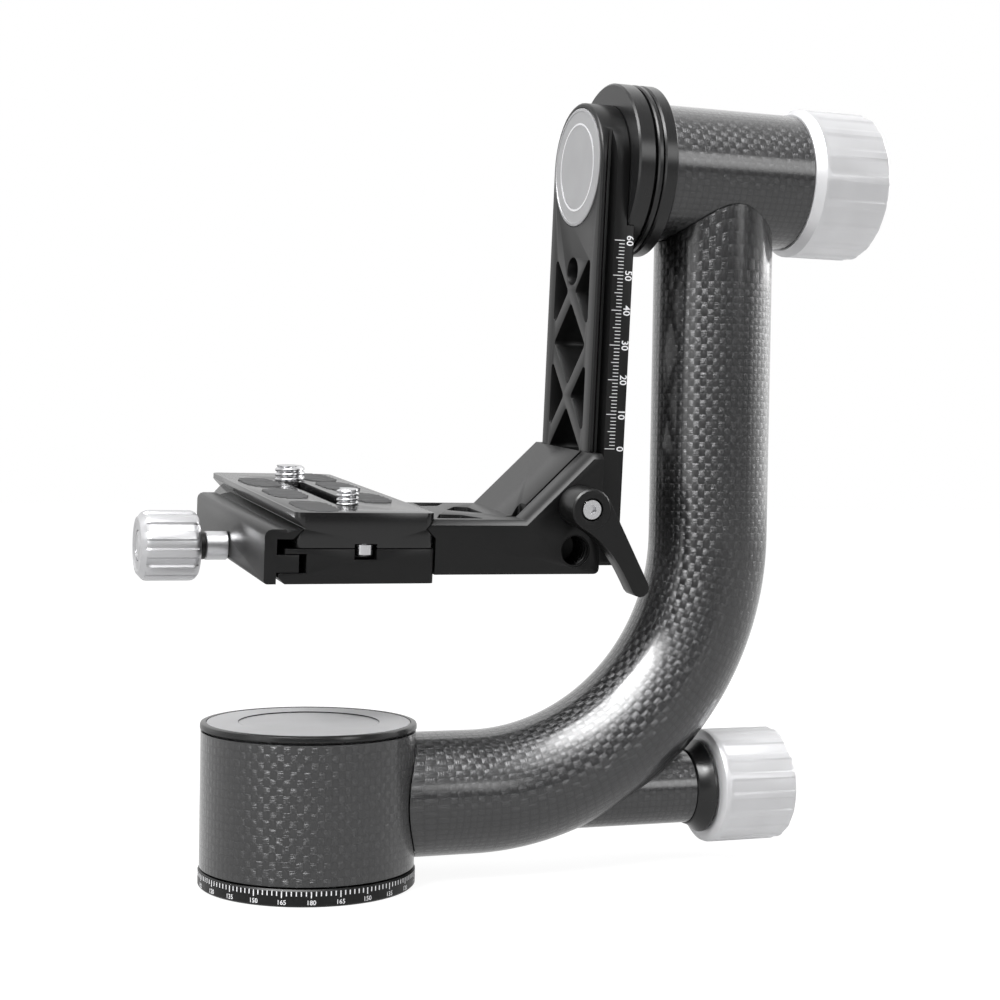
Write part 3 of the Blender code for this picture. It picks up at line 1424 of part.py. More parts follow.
def make_clamp(frame):
    """Clamp body: seat, slot for the jaw's tongue, fixed jaw behind the bracket, and its hardware."""
    slot_top = TONGUE_TOP - SEAT_GAP
    slot_bottom = TONGUE_TOP + TONGUE_HEIGHT + SEAT_GAP
    foot_left = JAW_INNER + SEAT_GAP + SEAT_GAP
    section = [
        (PLATE_RIGHT, -CLAMP_TOP),
        (CLAMP_LEFT, -CLAMP_TOP),
        (CLAMP_LEFT, -slot_top),
        (SLOT_FLOOR, -slot_top),
        (SLOT_FLOOR, -slot_bottom),
        (foot_left, -slot_bottom),
        (foot_left, -CLAMP_BOTTOM + CLAMP_CHAMFER),
        (foot_left + CLAMP_CHAMFER, -CLAMP_BOTTOM),
        (PLATE_RIGHT, -CLAMP_BOTTOM),
    ]
    body = put("clamp_body", prism(section, -CLAMP_BACK, CLAMP_FRONT), "black", frame, turn=ALONG_Y)
    start = BRACKET_HALF_WIDTH + SEAT_GAP
    wall_right = PLATE_RIGHT + SEAT_GAP + FIXED_JAW_WIDTH
    lip = fixed_jaw_lip(PLATE_RIGHT + SEAT_GAP, sqrt(2) * SEAT_GAP)
    wall = lip + [
        (PLATE_RIGHT + SEAT_GAP, -CLAMP_TOP),
        (PLATE_RIGHT - CLAMP_CORNER, -CLAMP_TOP),
        (PLATE_RIGHT - CLAMP_CORNER, -CLAMP_BOTTOM),
        (wall_right, -CLAMP_BOTTOM),
        (wall_right, -BRACKET_TOP - EDGE),
        (wall_right - EDGE, -BRACKET_TOP),
    ]
    join(body, helper(prism(wall, -CLAMP_BACK, -start), frame, turn=ALONG_Y))
    corner = prism(
        rounded(
            [
                (PLATE_RIGHT + OVERRUN, -CLAMP_FRONT - OVERRUN, 0),
                (PLATE_RIGHT + OVERRUN, -CLAMP_FRONT + CLAMP_CORNER, 0),
                (PLATE_RIGHT, -CLAMP_FRONT + CLAMP_CORNER, 0),
            ]
        )
        + [
            (PLATE_RIGHT - CLAMP_CORNER * (1 - cos(a)), -CLAMP_FRONT + CLAMP_CORNER * (1 - sin(a)))
            for a in [pi / 2 * i / CORNER_STEPS for i in range(1, CORNER_STEPS)]
        ]
        + [
            (PLATE_RIGHT - CLAMP_CORNER, -CLAMP_FRONT),
            (PLATE_RIGHT - CLAMP_CORNER, -CLAMP_FRONT - OVERRUN),
        ],
        -CLAMP_BOTTOM - OVERRUN,
        -CLAMP_TOP + OVERRUN,
    )
    play = STOP_RADIUS + STOP_NOTCH_PLAY
    notch = block(
        (PLATE_CENTRE - play, -CLAMP_FRONT - OVERRUN, -CLAMP_TOP - STOP_NOTCH_DEPTH),
        (PLATE_CENTRE + play, -PLATE_FRONT + STOP_INSET + play, -CLAMP_TOP + OVERRUN),
    )
    draw_end = SLOT_FLOOR + DRAW_SCREW_GRIP + SEAT_GAP
    draw = rod(DRAW_SCREW_RADIUS + SEAT_GAP, foot_left - OVERRUN, draw_end, SMALL_STEPS)
    cut(
        body,
        helper(corner, frame),
        helper(notch, frame),
        helper(draw, frame, (0, CLAMP_MIDDLE, -CLAMP_KNOB_DROP), ALONG_X),
    )
    pins = guide_pin_spots()
    pin_end = SLOT_FLOOR + GUIDE_PIN_GRIP
    drill(body, lambda: guide_pin_hole(SLOT_FLOOR - OVERRUN, pin_end + SEAT_GAP), frame, pins, ALONG_X)
    drill(body, spring_pocket, frame, pins, ALONG_X)
    drill(body, bracket_screw_hole, frame, bracket_screw_spots(), ALONG_X)
    head_left = SLOT_FLOOR + SEAT_GAP
    shoulder = head_left + BRACKET_SCREW_HEAD_HEIGHT
    tip = BRACKET_LEFT + BRACKET_SCREW_GRIP
    screw = cap_head_screw(BRACKET_SCREW_HEAD, BRACKET_SCREW_SHANK, head_left, shoulder, tip)
    put_each(
        "bracket_screw", lambda: turned(screw, TINY_STEPS), "steel", frame, bracket_screw_spots(), ALONG_X
    )
    pin_left = JAW_OUTER + GUIDE_PIN_SINK
    put_each(
        "guide_pin",
        lambda: rod(GUIDE_PIN_RADIUS, pin_left, pin_end, TINY_STEPS),
        "steel",
        frame,
        pins,
        ALONG_X,
    )
    length = SLOT_FLOOR + JAW_SPRING_BORE - TONGUE_TIP - 2 * SEAT_GAP
    seats = [(TONGUE_TIP + SEAT_GAP, y, z) for x, y, z in pins]
    put_each(
        "jaw_spring",
        lambda: spring(JAW_SPRING_RADIUS, JAW_SPRING_WIRE, length, JAW_SPRING_TURNS),
        "steel",
        frame,
        seats,
        ALONG_X,
    )


def guide_pin_spots():
    """Either side of the draw screw, at the middle of the jaw's tongue."""
    half = GUIDE_PIN_SPAN / 2
    return [(0, CLAMP_MIDDLE + hand * half, -TONGUE_MIDDLE) for hand in (-1, 1)]


def guide_pin_hole(left, right):
    return rod(GUIDE_PIN_RADIUS + SEAT_GAP, left, right, TINY_STEPS)


def spring_pocket():
    radius = JAW_SPRING_RADIUS + JAW_SPRING_WIRE + SEAT_GAP
    return rod(radius, SLOT_FLOOR - OVERRUN, SLOT_FLOOR + JAW_SPRING_BORE, TINY_STEPS)


def make_jaw(frame):
    """Moving jaw: outer wall, rounded crest with serrations, V lip over the plate, and a tongue."""
    lip_tip = PLATE_LEFT + PLATE_NECK_INSET - sqrt(2) * SEAT_GAP
    crest_right = JAW_OUTER + JAW_CREST_WIDTH
    fall = JAW_POCKET_TOP - neck_depth()
    section = [
        (crest_right, -JAW_CREST - JAW_CREST_DROP, 0),
        (lip_tip, -neck_depth(), 0),
        (lip_tip - fall, -JAW_POCKET_TOP, 0),
        (JAW_INNER, -JAW_POCKET_TOP, 0),
        (JAW_INNER, -TONGUE_TOP, 0),
        (TONGUE_TIP, -TONGUE_TOP, 0),
        (TONGUE_TIP, -TONGUE_TOP - TONGUE_HEIGHT, 0),
        (JAW_INNER, -TONGUE_TOP - TONGUE_HEIGHT, 0),
        (JAW_INNER, -CLAMP_BOTTOM, 0),
        (JAW_OUTER, -CLAMP_BOTTOM, JAW_FOOT_ROUND),
        (JAW_OUTER, -JAW_CREST, JAW_CREST_ROUND),
        (crest_right, -JAW_CREST, EDGE),
    ]
    jaw = put(
        "clamp_jaw", prism(rounded(section), -CLAMP_BACK, CLAMP_FRONT), "black", frame, turn=ALONG_Y
    )
    screw_room = DRAW_SCREW_RADIUS + SEAT_GAP
    notch = block(
        (JAW_INNER, CLAMP_MIDDLE - screw_room, -TONGUE_TOP - TONGUE_HEIGHT - OVERRUN),
        (TONGUE_TIP + OVERRUN, CLAMP_MIDDLE + screw_room, -TONGUE_TOP + OVERRUN),
    )
    bore = rod(screw_room, JAW_OUTER - OVERRUN, JAW_INNER + OVERRUN, SMALL_STEPS)
    pin_left = JAW_OUTER + GUIDE_PIN_SINK - SEAT_GAP
    teeth = [(serration(), (0, y, 0)) for y in serration_places()]
    cut(
        jaw,
        helper(notch, frame),
        helper(bore, frame, (0, CLAMP_MIDDLE, -CLAMP_KNOB_DROP), ALONG_X),
        helper(gather(teeth), frame),
    )
    drill(jaw, lambda: guide_pin_hole(pin_left, TONGUE_TIP + OVERRUN), frame, guide_pin_spots(), ALONG_X)


def serration_places():
    first = -CLAMP_FRONT + CLAMP_LENGTH * SERRATION_START_SHARE
    last = -CLAMP_FRONT + CLAMP_LENGTH * SERRATION_END_SHARE
    return [first + (last - first) * i / (SERRATIONS - 1) for i in range(SERRATIONS)]


def serration():
    """A notch with a V section across the inner half of the jaw's crest."""
    right = JAW_OUTER + JAW_CREST_WIDTH + OVERRUN / 2
    left = JAW_OUTER + JAW_CREST_WIDTH - SERRATION_RUN
    half = SERRATION_WIDTH / 2
    shape = bmesh.new()
    rings = []
    for x, depth in ((left, -SERRATION_DEPTH / 2), (right, SERRATION_DEPTH)):
        top = -JAW_CREST + SERRATION_DEPTH
        floor = -JAW_CREST - depth
        rings.append(
            [shape.verts.new((x, y, z)) for y, z in ((-half * 2, top), (half * 2, top), (0, floor))]
        )
    skin(shape, rings, True)
    return shape


def make_clamp_knob(frame):
    """Collar, draw screw and scalloped knob, all on the knob's own axis."""
    collar_right = JAW_OUTER - SEAT_GAP
    collar_left = collar_right - KNOB_COLLAR_LENGTH
    bore = DRAW_SCREW_RADIUS + SEAT_GAP
    put(
        "knob_collar",
        ring(bore, KNOB_COLLAR_RADIUS, collar_left, collar_right, SMALL_STEPS),
        "silver",
        frame,
        turn=ALONG_X,
    )
    right = collar_left - SEAT_GAP
    shoulder = right - CLAMP_KNOB_NECK
    left = shoulder - CLAMP_KNOB_LENGTH
    radius = CLAMP_KNOB_RADIUS
    tip = JAW_OUTER - DRAW_SCREW_REACH
    put(
        "clamp_knob",
        fluted(
            [
                (0, left + KNOB_CAP_HEIGHT, 0),
                (radius * KNOB_CAP_SHARE, left + KNOB_CAP_HEIGHT, 0),
                (radius * KNOB_CAP_SHARE, left, 0),
                (CLAMP_KNOB_FACE, left, 0),
                (radius, left + CLAMP_KNOB_BEVEL, 1),
                (radius, shoulder - KNOB_CHAMFER, 1),
                (radius - KNOB_CHAMFER, shoulder, 0),
                (CLAMP_KNOB_NECK_RADIUS, shoulder, 0),
                (CLAMP_KNOB_NECK_RADIUS, right, 0),
                (bore, right, 0),
                (bore, tip - SEAT_GAP, 0),
                (0, tip - SEAT_GAP, 0),
            ],
            CLAMP_KNOB_FLUTES,
            CLAMP_KNOB_FLUTE_DEPTH,
        ),
        "silver",
        frame,
        turn=ALONG_X,
    )
    cap = rod(radius * KNOB_CAP_SHARE - SEAT_GAP, left, left + KNOB_CAP_HEIGHT - SEAT_GAP, SMALL_STEPS)
    put("knob_cap", cap, "silver", frame, turn=ALONG_X)
    grip = SLOT_FLOOR + DRAW_SCREW_GRIP
    put("draw_screw", rod(DRAW_SCREW_RADIUS, tip, grip, TINY_STEPS), "steel", frame, turn=ALONG_X)


# Quick-release plate

def make_plate(frame, front_frame, front_spin, rear_frame):
    """Dovetail plate with its slot, camera screws and the stop screw under its front."""
    half = PLATE_HALF_WIDTH
    neck = half - PLATE_NECK_INSET
    knee = PLATE_TOP + PLATE_LIP
    section = [
        (half, -PLATE_TOP),
        (half, -knee),
        (neck, -neck_depth()),
        (half, -neck_depth() - PLATE_NECK_INSET),
        (half, -PLATE_BOTTOM),
    ]
    outline = section + [(-x, z) for x, z in reversed(section)]
    back = PLATE_LENGTH - PLATE_FRONT
    plate = put(
        "quick_release_plate",
        prism(outline, -back, PLATE_FRONT),
        "black",
        frame,
        (PLATE_CENTRE, 0, 0),
        ALONG_Y,
    )
    corners = [(half, -PLATE_FRONT), (half, back), (-half, back), (-half, -PLATE_FRONT)]
    keep = prism(
        rounded([(x, y, PLATE_CORNER) for x, y in corners]), -PLATE_BOTTOM - OVERRUN, -PLATE_TOP + OVERRUN
    )
    boolean(plate, helper(keep, frame, (PLATE_CENTRE, 0, 0)), "INTERSECT")
    web = -PLATE_TOP - PLATE_WEB
    recess = slotted(HEAD_RECESS_WIDTH, FRONT_SCREW_Y, REAR_SCREW_Y, -PLATE_BOTTOM - OVERRUN, web)
    slot = slotted(
        2 * (FRONT_STUD_RADIUS + STUD_PLAY), FRONT_SCREW_Y, SLOT_BACK, web - OVERRUN, -PLATE_TOP + OVERRUN
    )
    rear = rod(REAR_STUD_RADIUS + STUD_PLAY, web - OVERRUN, -PLATE_TOP + OVERRUN)
    stop_y = -PLATE_FRONT + STOP_INSET
    shank_top = -PLATE_BOTTOM + STOP_NOTCH_HEIGHT + STOP_SHANK_LENGTH + SEAT_GAP
    shank = rod(STOP_SHANK + SEAT_GAP, -PLATE_BOTTOM - OVERRUN, shank_top, TINY_STEPS)
    play = STOP_RADIUS + STOP_NOTCH_PLAY
    notch = block(
        (-play, -PLATE_FRONT - OVERRUN, -PLATE_BOTTOM - OVERRUN),
        (play, stop_y + play, -PLATE_BOTTOM + STOP_NOTCH_HEIGHT),
    )
    middle = (PLATE_CENTRE, 0, 0)
    cut(
        plate,
        helper(recess, frame, middle),
        helper(slot, frame, middle),
        helper(rear, frame, (PLATE_CENTRE, REAR_SCREW_Y, 0)),
        helper(notch, frame, middle),
        helper(shank, frame, (PLATE_CENTRE, stop_y, 0)),
    )
    stop_top = -PLATE_BOTTOM + STOP_NOTCH_HEIGHT - SEAT_GAP
    stop = turned(
        [
            (0, stop_top - STOP_HEIGHT),
            (STOP_RADIUS - EDGE, stop_top - STOP_HEIGHT),
            (STOP_RADIUS, stop_top - STOP_HEIGHT + EDGE),
            (STOP_RADIUS, stop_top),
            (STOP_SHANK, stop_top),
            (STOP_SHANK, stop_top + STOP_SHANK_LENGTH),
            (0, stop_top + STOP_SHANK_LENGTH),
        ],
        SMALL_STEPS,
    )
    put("stop_screw", stop, "silver", frame, (PLATE_CENTRE, stop_y, 0))
    gap = SEAT_GAP
    retainer = ring(
        FRONT_NECK_RADIUS + gap, RETAINER_RADIUS, web - gap - RETAINER_HEIGHT, web - gap, SMALL_STEPS
    )
    put("screw_retainer", retainer, "dark_steel", front_frame)
    front_top = web - 2 * gap - RETAINER_HEIGHT
    put(
        "front_camera_screw",
        camera_screw(
            front_top, FRONT_HEAD_RADIUS, FRONT_NECK_RADIUS, FRONT_STUD_RADIUS, FRONT_STUD_HEIGHT
        ),
        "steel",
        front_spin,
    )
    rear_screw = camera_screw(
        web - gap, REAR_HEAD_RADIUS, REAR_NECK_RADIUS, REAR_STUD_RADIUS, REAR_STUD_HEIGHT
    )
    put("rear_camera_screw", rear_screw, "steel", rear_frame)


def slotted(width, first, last, low, high):
    """A round-ended slot along Y."""
    radius = width / 2
    half_turn = [pi * i / (SMALL_STEPS // 2) for i in range(SMALL_STEPS // 2 + 1)]
    outline = [(radius * cos(a), last + radius * sin(a)) for a in half_turn]
    outline += [(-radius * cos(a), first - radius * sin(a)) for a in half_turn]
    return prism(outline, low, high)


def camera_screw(head_top, head, neck, stud, height):
    """Head under the plate, neck through it, and the stud that goes into the camera."""
    seat = -PLATE_TOP + SEAT_GAP
    top = seat + height
    head_low = head_top - SCREW_HEAD_HEIGHT
    return turned(
        [
            (0, head_low),
            (head - EDGE, head_low),
            (head, head_low + EDGE),
            (head, head_top),
            (neck, head_top),
            (neck, seat),
            (stud - STUD_CHAMFER / 2, seat),
            (stud, seat + STUD_CHAMFER / 2),
            (stud, top - STUD_CHAMFER),
            (stud - STUD_CHAMFER, top),
            (0, top),
        ],
        SMALL_STEPS,
    )


def main():
    clear_scene()
    foot = axis_frame("foot_frame", (0, 0, 0))
    pan = axis_frame("pan_axis", (0, 0, 0), foot)
    pan_lock = axis_frame("pan_lock_axis", (0, 0, LOCK_HEIGHT), pan)
    pan_knob = axis_frame("pan_knob_axis", (0, 0, 0), pan_lock)
    tilt_lock = axis_frame("tilt_lock_axis", (0, 0, TILT_HEIGHT), pan)
    tilt_knob = axis_frame("tilt_knob_axis", (0, 0, 0), tilt_lock)
    tilt = axis_frame("tilt_axis", (0, 0, TILT_HEIGHT), pan, (ARM_TILT, 0, 0))
    rail = axis_frame("carriage_rail", (0, 0, 0), tilt)
    lever = axis_frame("lever_axis", (LEVER_X, -BRACKET_HALF_WIDTH, -LEVER_DROP), rail)
    jaw = axis_frame("jaw_rail", (0, 0, 0), rail)
    knob = axis_frame("clamp_knob_axis", (0, CLAMP_MIDDLE, -CLAMP_KNOB_DROP), jaw)
    plate = axis_frame("plate_rail", (0, 0, 0), rail)
    front_slide = axis_frame("front_screw_slide", (PLATE_CENTRE, FRONT_SCREW_Y, 0), plate)
    front_spin = axis_frame("front_screw_axis", (0, 0, 0), front_slide)
    rear_spin = axis_frame("rear_screw_axis", (PLATE_CENTRE, REAR_SCREW_Y, 0), plate)

    make_foot(foot)
    make_spindle(foot)
    make_base_housing(pan)
    make_cap(pan)
    make_bent_tube(pan)
    make_pan_lock(pan, pan_lock, pan_knob)
    make_cross_tube(pan)
    make_tilt_lock(tilt_lock, tilt_knob)
    make_arm(tilt)
    make_carriage(rail)
    make_lever(lever)
    make_clamp(rail)
    make_jaw(jaw)
    make_clamp_knob(knob)
    make_plate(plate, front_slide, front_spin, rear_spin)


main()
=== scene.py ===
import math

import bmesh
import bpy
from mathutils import Matrix, Vector


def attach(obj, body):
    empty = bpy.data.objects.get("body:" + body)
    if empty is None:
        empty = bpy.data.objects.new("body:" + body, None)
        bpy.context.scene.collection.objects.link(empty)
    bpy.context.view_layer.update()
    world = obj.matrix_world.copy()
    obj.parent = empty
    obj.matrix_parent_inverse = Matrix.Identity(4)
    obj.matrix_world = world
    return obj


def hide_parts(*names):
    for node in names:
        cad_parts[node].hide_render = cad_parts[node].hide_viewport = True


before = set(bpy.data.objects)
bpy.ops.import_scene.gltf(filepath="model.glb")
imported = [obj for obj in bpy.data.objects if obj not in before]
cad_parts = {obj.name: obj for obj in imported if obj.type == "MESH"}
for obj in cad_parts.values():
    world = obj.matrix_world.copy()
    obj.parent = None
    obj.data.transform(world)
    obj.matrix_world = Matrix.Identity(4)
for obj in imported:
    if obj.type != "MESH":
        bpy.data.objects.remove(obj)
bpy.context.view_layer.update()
print("frame loaded:", len(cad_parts), "nodes")

# Sizes are in millimetres and angles in degrees until they meet mm or math.radians
mm = 0.001
armTilt = 4.54
tiltHeight = 205.9
lockHeight = 21.8

# Frames that the pieces are drawn in: turned shapes have their axis along local Z
upright = Matrix.Identity(4)
alongX = Matrix(((0, 0, 1, 0), (1, 0, 0, 0), (0, 1, 0, 0), (0, 0, 0, 1)))
alongY = Matrix(((1, 0, 0, 0), (0, 0, -1, 0), (0, 1, 0, 0), (0, 0, 0, 1)))  # local +Z looks out of the front
armPlace = Matrix.Translation((0, 0, tiltHeight * mm)) @ Matrix.Rotation(math.radians(armTilt), 4, "X")
crossPlace = Matrix.Translation((0, 0, tiltHeight * mm)) @ alongX
lockPlace = Matrix.Translation((0, 0, lockHeight * mm)) @ alongX


def at(x, y, z):
    return Matrix.Translation((x * mm, y * mm, z * mm))


# Node trees, written as expressions

class Wire:
    def __init__(self, sheet, socket):
        self.sheet = sheet
        self.socket = socket

    def mathWith(self, operation, other, swapped=False):
        pair = [other, self] if swapped else [self, other]
        return self.sheet.add("ShaderNodeMath", {"operation": operation}, dict(enumerate(pair)))

    def __add__(self, other):
        return self.mathWith("ADD", other)

    __radd__ = __add__

    def __sub__(self, other):
        return self.mathWith("SUBTRACT", other)

    def __rsub__(self, other):
        return self.mathWith("SUBTRACT", other, True)

    def __mul__(self, other):
        return self.mathWith("MULTIPLY", other)

    def __truediv__(self, other):
        return self.mathWith("DIVIDE", other)

    def __mod__(self, other):
        return self.mathWith("FLOORED_MODULO", other)

    def __lt__(self, other):
        return self.mathWith("LESS_THAN", other)

    def low(self, other):
        return self.mathWith("MINIMUM", other)

    def high(self, other):
        return self.mathWith("MAXIMUM", other)

    def one(self, operation):
        return self.sheet.add("ShaderNodeMath", {"operation": operation}, {0: self})


class Sheet:
    def __init__(self, tree):
        self.tree = tree

    def add(self, kind, settings=None, values=None, output=0):
        node = self.tree.nodes.new(kind)
        for name, value in (settings or {}).items():
            setattr(node, name, value)
        for name, value in (values or {}).items():
            if isinstance(value, Wire):
                self.tree.links.new(value.socket, node.inputs[name])
            else:
                node.inputs[name].default_value = value
        return Wire(self, node.outputs[output])

    def part(self, wire, output):
        return Wire(self, wire.socket.node.outputs[output])

    def vector(self, values):
        return self.add("ShaderNodeCombineXYZ", None, values)

    def mix(self, factor, first, second):
        values = {"Factor": factor, "A": first, "B": second}
        return self.add("ShaderNodeMix", {"data_type": "RGBA"}, values, output=2)

    def bump(self, height, strength, distance):
        return self.add("ShaderNodeBump", None, {"Height": height, "Strength": strength, "Distance": distance})


def newMaterial(name, constants):
    material = bpy.data.materials.new(name)
    material.use_nodes = True
    shader = material.node_tree.nodes["Principled BSDF"]
    for socket, value in constants.items():
        shader.inputs[socket].default_value = value
    return material, shader, Sheet(material.node_tree)


def feed(sheet, shader, links):
    for name, wire in links.items():
        sheet.tree.links.new(wire.socket, shader.inputs[name])


coolTint = 1.02  # blue over red in every grey


def grey(level):
    return (level, level, level * coolTint, 1.0)


def carbonFinish(name, settings):
    # Plain weave under a clear coat: the fine grooves along each tow spread light across the fibres,
    # so the two families of tows shine in different places
    v = settings
    coat = {"Metallic": 1.0, "Coat Weight": 1.0, "Coat Roughness": v["coatRoughness"]}
    material, shader, sheet = newMaterial(name, coat)
    cells = sheet.add("ShaderNodeSeparateXYZ", None, {0: sheet.add("ShaderNodeUVMap", {"uv_map": "weave"})})
    across, along = sheet.part(cells, 0), sheet.part(cells, 1)
    column, row = across.one("FLOOR"), along.one("FLOOR")
    parity = (column + row) % 2
    dome = ((across % 1) * math.pi).one("SINE") * ((along % 1) * math.pi).one("SINE")
    cell = sheet.vector({0: column, 1: row})
    odd = sheet.add("ShaderNodeTexWhiteNoise", {"noise_dimensions": "2D"}, {"Vector": cell})

    def threads(u, w):
        values = {"Vector": sheet.vector({0: across * u, 1: along * w}), "Scale": 1.0, "Detail": 1.0}
        return sheet.add("ShaderNodeTexNoise", {"noise_dimensions": "2D"}, values)

    crown = (dome * v["sharpness"] - v["gap"]).high(0).low(1)
    fibres = threads(v["run"], v["fibres"]) * parity + threads(v["fibres"], v["run"]) * (1 - parity)
    # Each tow's crown is painted a little lighter and the gaps between tows a little darker: a painted highlight and
    # painted shade, scaled by a real random tone per cell.
    shade = crown * (odd * v["oddShare"] + (1 - v["oddShare"]))
    colour = sheet.mix(shade, grey(v["gapShadeGrey"]), grey(v["crownHighlightGrey"]))
    height = dome * v["domeRelief"] + fibres * v["fibreRelief"]
    bump = sheet.bump(height, v["relief"], v["reliefDepth"])
    roughness = v["rough"] - crown * (v["rough"] - v["smooth"])
    feed(sheet, shader, {"Base Color": colour, "Roughness": roughness, "Normal": bump})
    return material


metalSettings = {
    "greySpread": (0.92, 1.08), "colourSpread": (0.9, 1.1), "cloudSize": 40, "specular": 0.5,
    "grainDepth": 0.05 * mm, "grainShine": 0.12,
}


def metalFinish(name, settings):
    common = metalSettings
    material, shader, sheet = newMaterial(name, {
        "Metallic": settings["metallic"], "Specular IOR Level": settings.get("specular", common["specular"]),
    })
    place = sheet.add("ShaderNodeTexCoord", output=3)
    scale = settings["grainScale"]
    grain = sheet.add("ShaderNodeTexNoise", None, {"Vector": place, "Scale": scale, "Detail": 2.0})
    values = {"Vector": place, "Scale": scale / common["cloudSize"], "Detail": 1.0}
    cloud = sheet.add("ShaderNodeTexNoise", None, values)
    if "colour" in settings:
        dark, light = [(*(part * k for part in settings["colour"]), 1.0) for k in common["colourSpread"]]
    else:
        dark, light = [grey(settings["level"] * k) for k in common["greySpread"]]
    colour = sheet.mix(cloud, dark, light)
    bump = sheet.bump(grain, settings["grain"], common["grainDepth"])
    roughness = settings["roughness"] + (grain - 0.5) * common["grainShine"]
    feed(sheet, shader, {"Base Color": colour, "Roughness": roughness, "Normal": bump})
    return material


finishes = {
    "carbon": carbonFinish("clearCoatedCarbon", {
        "coatRoughness": 0.15, "sharpness": 3.2, "gap": 0.3, "fibres": 12.0, "run": 0.5, "oddShare": 0.4,
        "fibreRelief": 1.1, "domeRelief": 0.95, "relief": 1.0, "reliefDepth": 0.11 * mm,
        "gapShadeGrey": 0.046, "crownHighlightGrey": 0.057, "rough": 0.4, "smooth": 0.33,
    }),
    "black": metalFinish("blackAnodised", {
        "level": 0.005, "roughness": 0.34, "metallic": 0.0, "specular": 0.27, "grainScale": 5200.0, "grain": 0.15,
    }),
    "blackGloss": metalFinish("blackTurned", {
        "level": 0.011, "roughness": 0.24, "metallic": 0.0, "specular": 0.4, "grainScale": 5200.0, "grain": 0.06,
    }),
    "blackPlate": metalFinish("blackPlate", {
        "level": 0.006, "roughness": 0.2, "metallic": 0.0, "grainScale": 5200.0, "grain": 0.04,
    }),
    "silver": metalFinish("silverAnodised", {
        "level": 0.6, "roughness": 0.4, "metallic": 0.35, "grainScale": 4200.0, "grain": 0.08,
    }),
    "satin": metalFinish("satinAluminium", {
        "level": 0.55, "roughness": 0.33, "metallic": 0.9, "grainScale": 4200.0, "grain": 0.15,
    }),
    "label": metalFinish("greyInlay", {
        "level": 0.42, "roughness": 0.45, "metallic": 0.35, "grainScale": 4200.0, "grain": 0.1,
    }),
    "armLabel": metalFinish("armInlay", {
        "level": 0.32, "roughness": 0.45, "metallic": 0.35, "grainScale": 4200.0, "grain": 0.1,
    }),
    "bright": metalFinish("polishedEdge", {
        "level": 0.92, "roughness": 0.2, "metallic": 1.0, "grainScale": 3000.0, "grain": 0.04,
    }),
    "steel": metalFinish("brightSteel", {
        "level": 0.6, "roughness": 0.22, "metallic": 1.0, "grainScale": 3000.0, "grain": 0.08,
    }),
    "core": metalFinish("machinedAluminium", {
        "level": 0.45, "roughness": 0.4, "metallic": 0.9, "grainScale": 3000.0, "grain": 0.1,
    }),
    "bronze": metalFinish("bearingBronze", {
        "colour": (0.5, 0.32, 0.14), "roughness": 0.35, "metallic": 0.9, "grainScale": 3000.0, "grain": 0.1,
    }),
    "pad": metalFinish("brakeMaterial", {
        "colour": (0.25, 0.2, 0.14), "roughness": 0.8, "metallic": 0.0, "grainScale": 1500.0, "grain": 0.5,
    }),
    "ink": metalFinish("whiteInk", {
        "level": 0.8, "roughness": 0.6, "metallic": 0.0, "grainScale": 3000.0, "grain": 0.05,
    }),
    "grip": metalFinish("gripRibs", {
        "level": 0.05, "roughness": 0.6, "metallic": 0.0, "grainScale": 3000.0, "grain": 0.3,
    }),
}
print("finishes ready")


# Shapes

def ringFaces(shape, here, there):
    after = [(i + 1) % len(here) for i in range(len(here))]
    return [shape.faces.new([here[i], here[j], there[j], there[i]]) for i, j in enumerate(after)]


def skinRings(rings, solid, cells=None):
    # A solid gets both ends closed, anything else joins its last ring to its first.
    # Cells are how many tows go round and how long one is, for the weave's UV map
    shape = bmesh.new()
    loops = [[shape.verts.new(point) for point in ring] for ring in rings]
    layer = shape.loops.layers.uv.new("weave") if cells else None
    pairs = list(zip(loops, loops[1:])) + ([] if solid else [(loops[-1], loops[0])])
    travelled = 0.0
    for here, there in pairs:
        count = len(here)
        step = (there[0].co - here[0].co).length
        faces = ringFaces(shape, here, there)
        if cells:
            around, height = cells
            for i, face in enumerate(faces):
                for loop, (u, v) in zip(face.loops, ((i, 0), (i + 1, 0), (i + 1, 1), (i, 1))):
                    loop[layer].uv = (u / count * around, (travelled + v * step) / height)
        travelled += step
    if solid:
        shape.faces.new(loops[0])
        shape.faces.new(loops[-1])
    return shape


def circlePoints(radius, height, steps):
    angles = [2 * math.pi * i / steps for i in range(steps)]
    return [(radius * math.cos(angle), radius * math.sin(angle), height) for angle in angles]


def turned(profile, steps, cells=None):
    # A profile that begins on the axis also ends there, and its flat ends close the solid
    solid = profile[0][0] == 0
    inner = profile[1:-1] if solid else profile
    return skinRings([circlePoints(r * mm, z * mm, steps) for r, z in inner], solid, cells)


def fluted(profile, flutes, depth, land, points=12):
    # Flat-bottomed grooves between lands; the profile's third number is how deep they are there, 0 to 1
    rings = []
    for radius, height, share in profile[1:-1]:
        ring = []
        for i in range(flutes * points):
            flute, point = divmod(i, points)
            where = point / points
            hollow = 1.0 if where > land else 0.0
            angle = 2 * math.pi * (flute + where) / flutes
            here = (radius - depth * hollow * share) * mm
            ring.append((here * math.cos(angle), here * math.sin(angle), height * mm))
        rings.append(ring)
    return skinRings(rings, True)


threadSettings = {"steps": 48, "perTurn": 10, "flank": 1.5, "runOut": 0.6, "runOutDepth": 0.8}


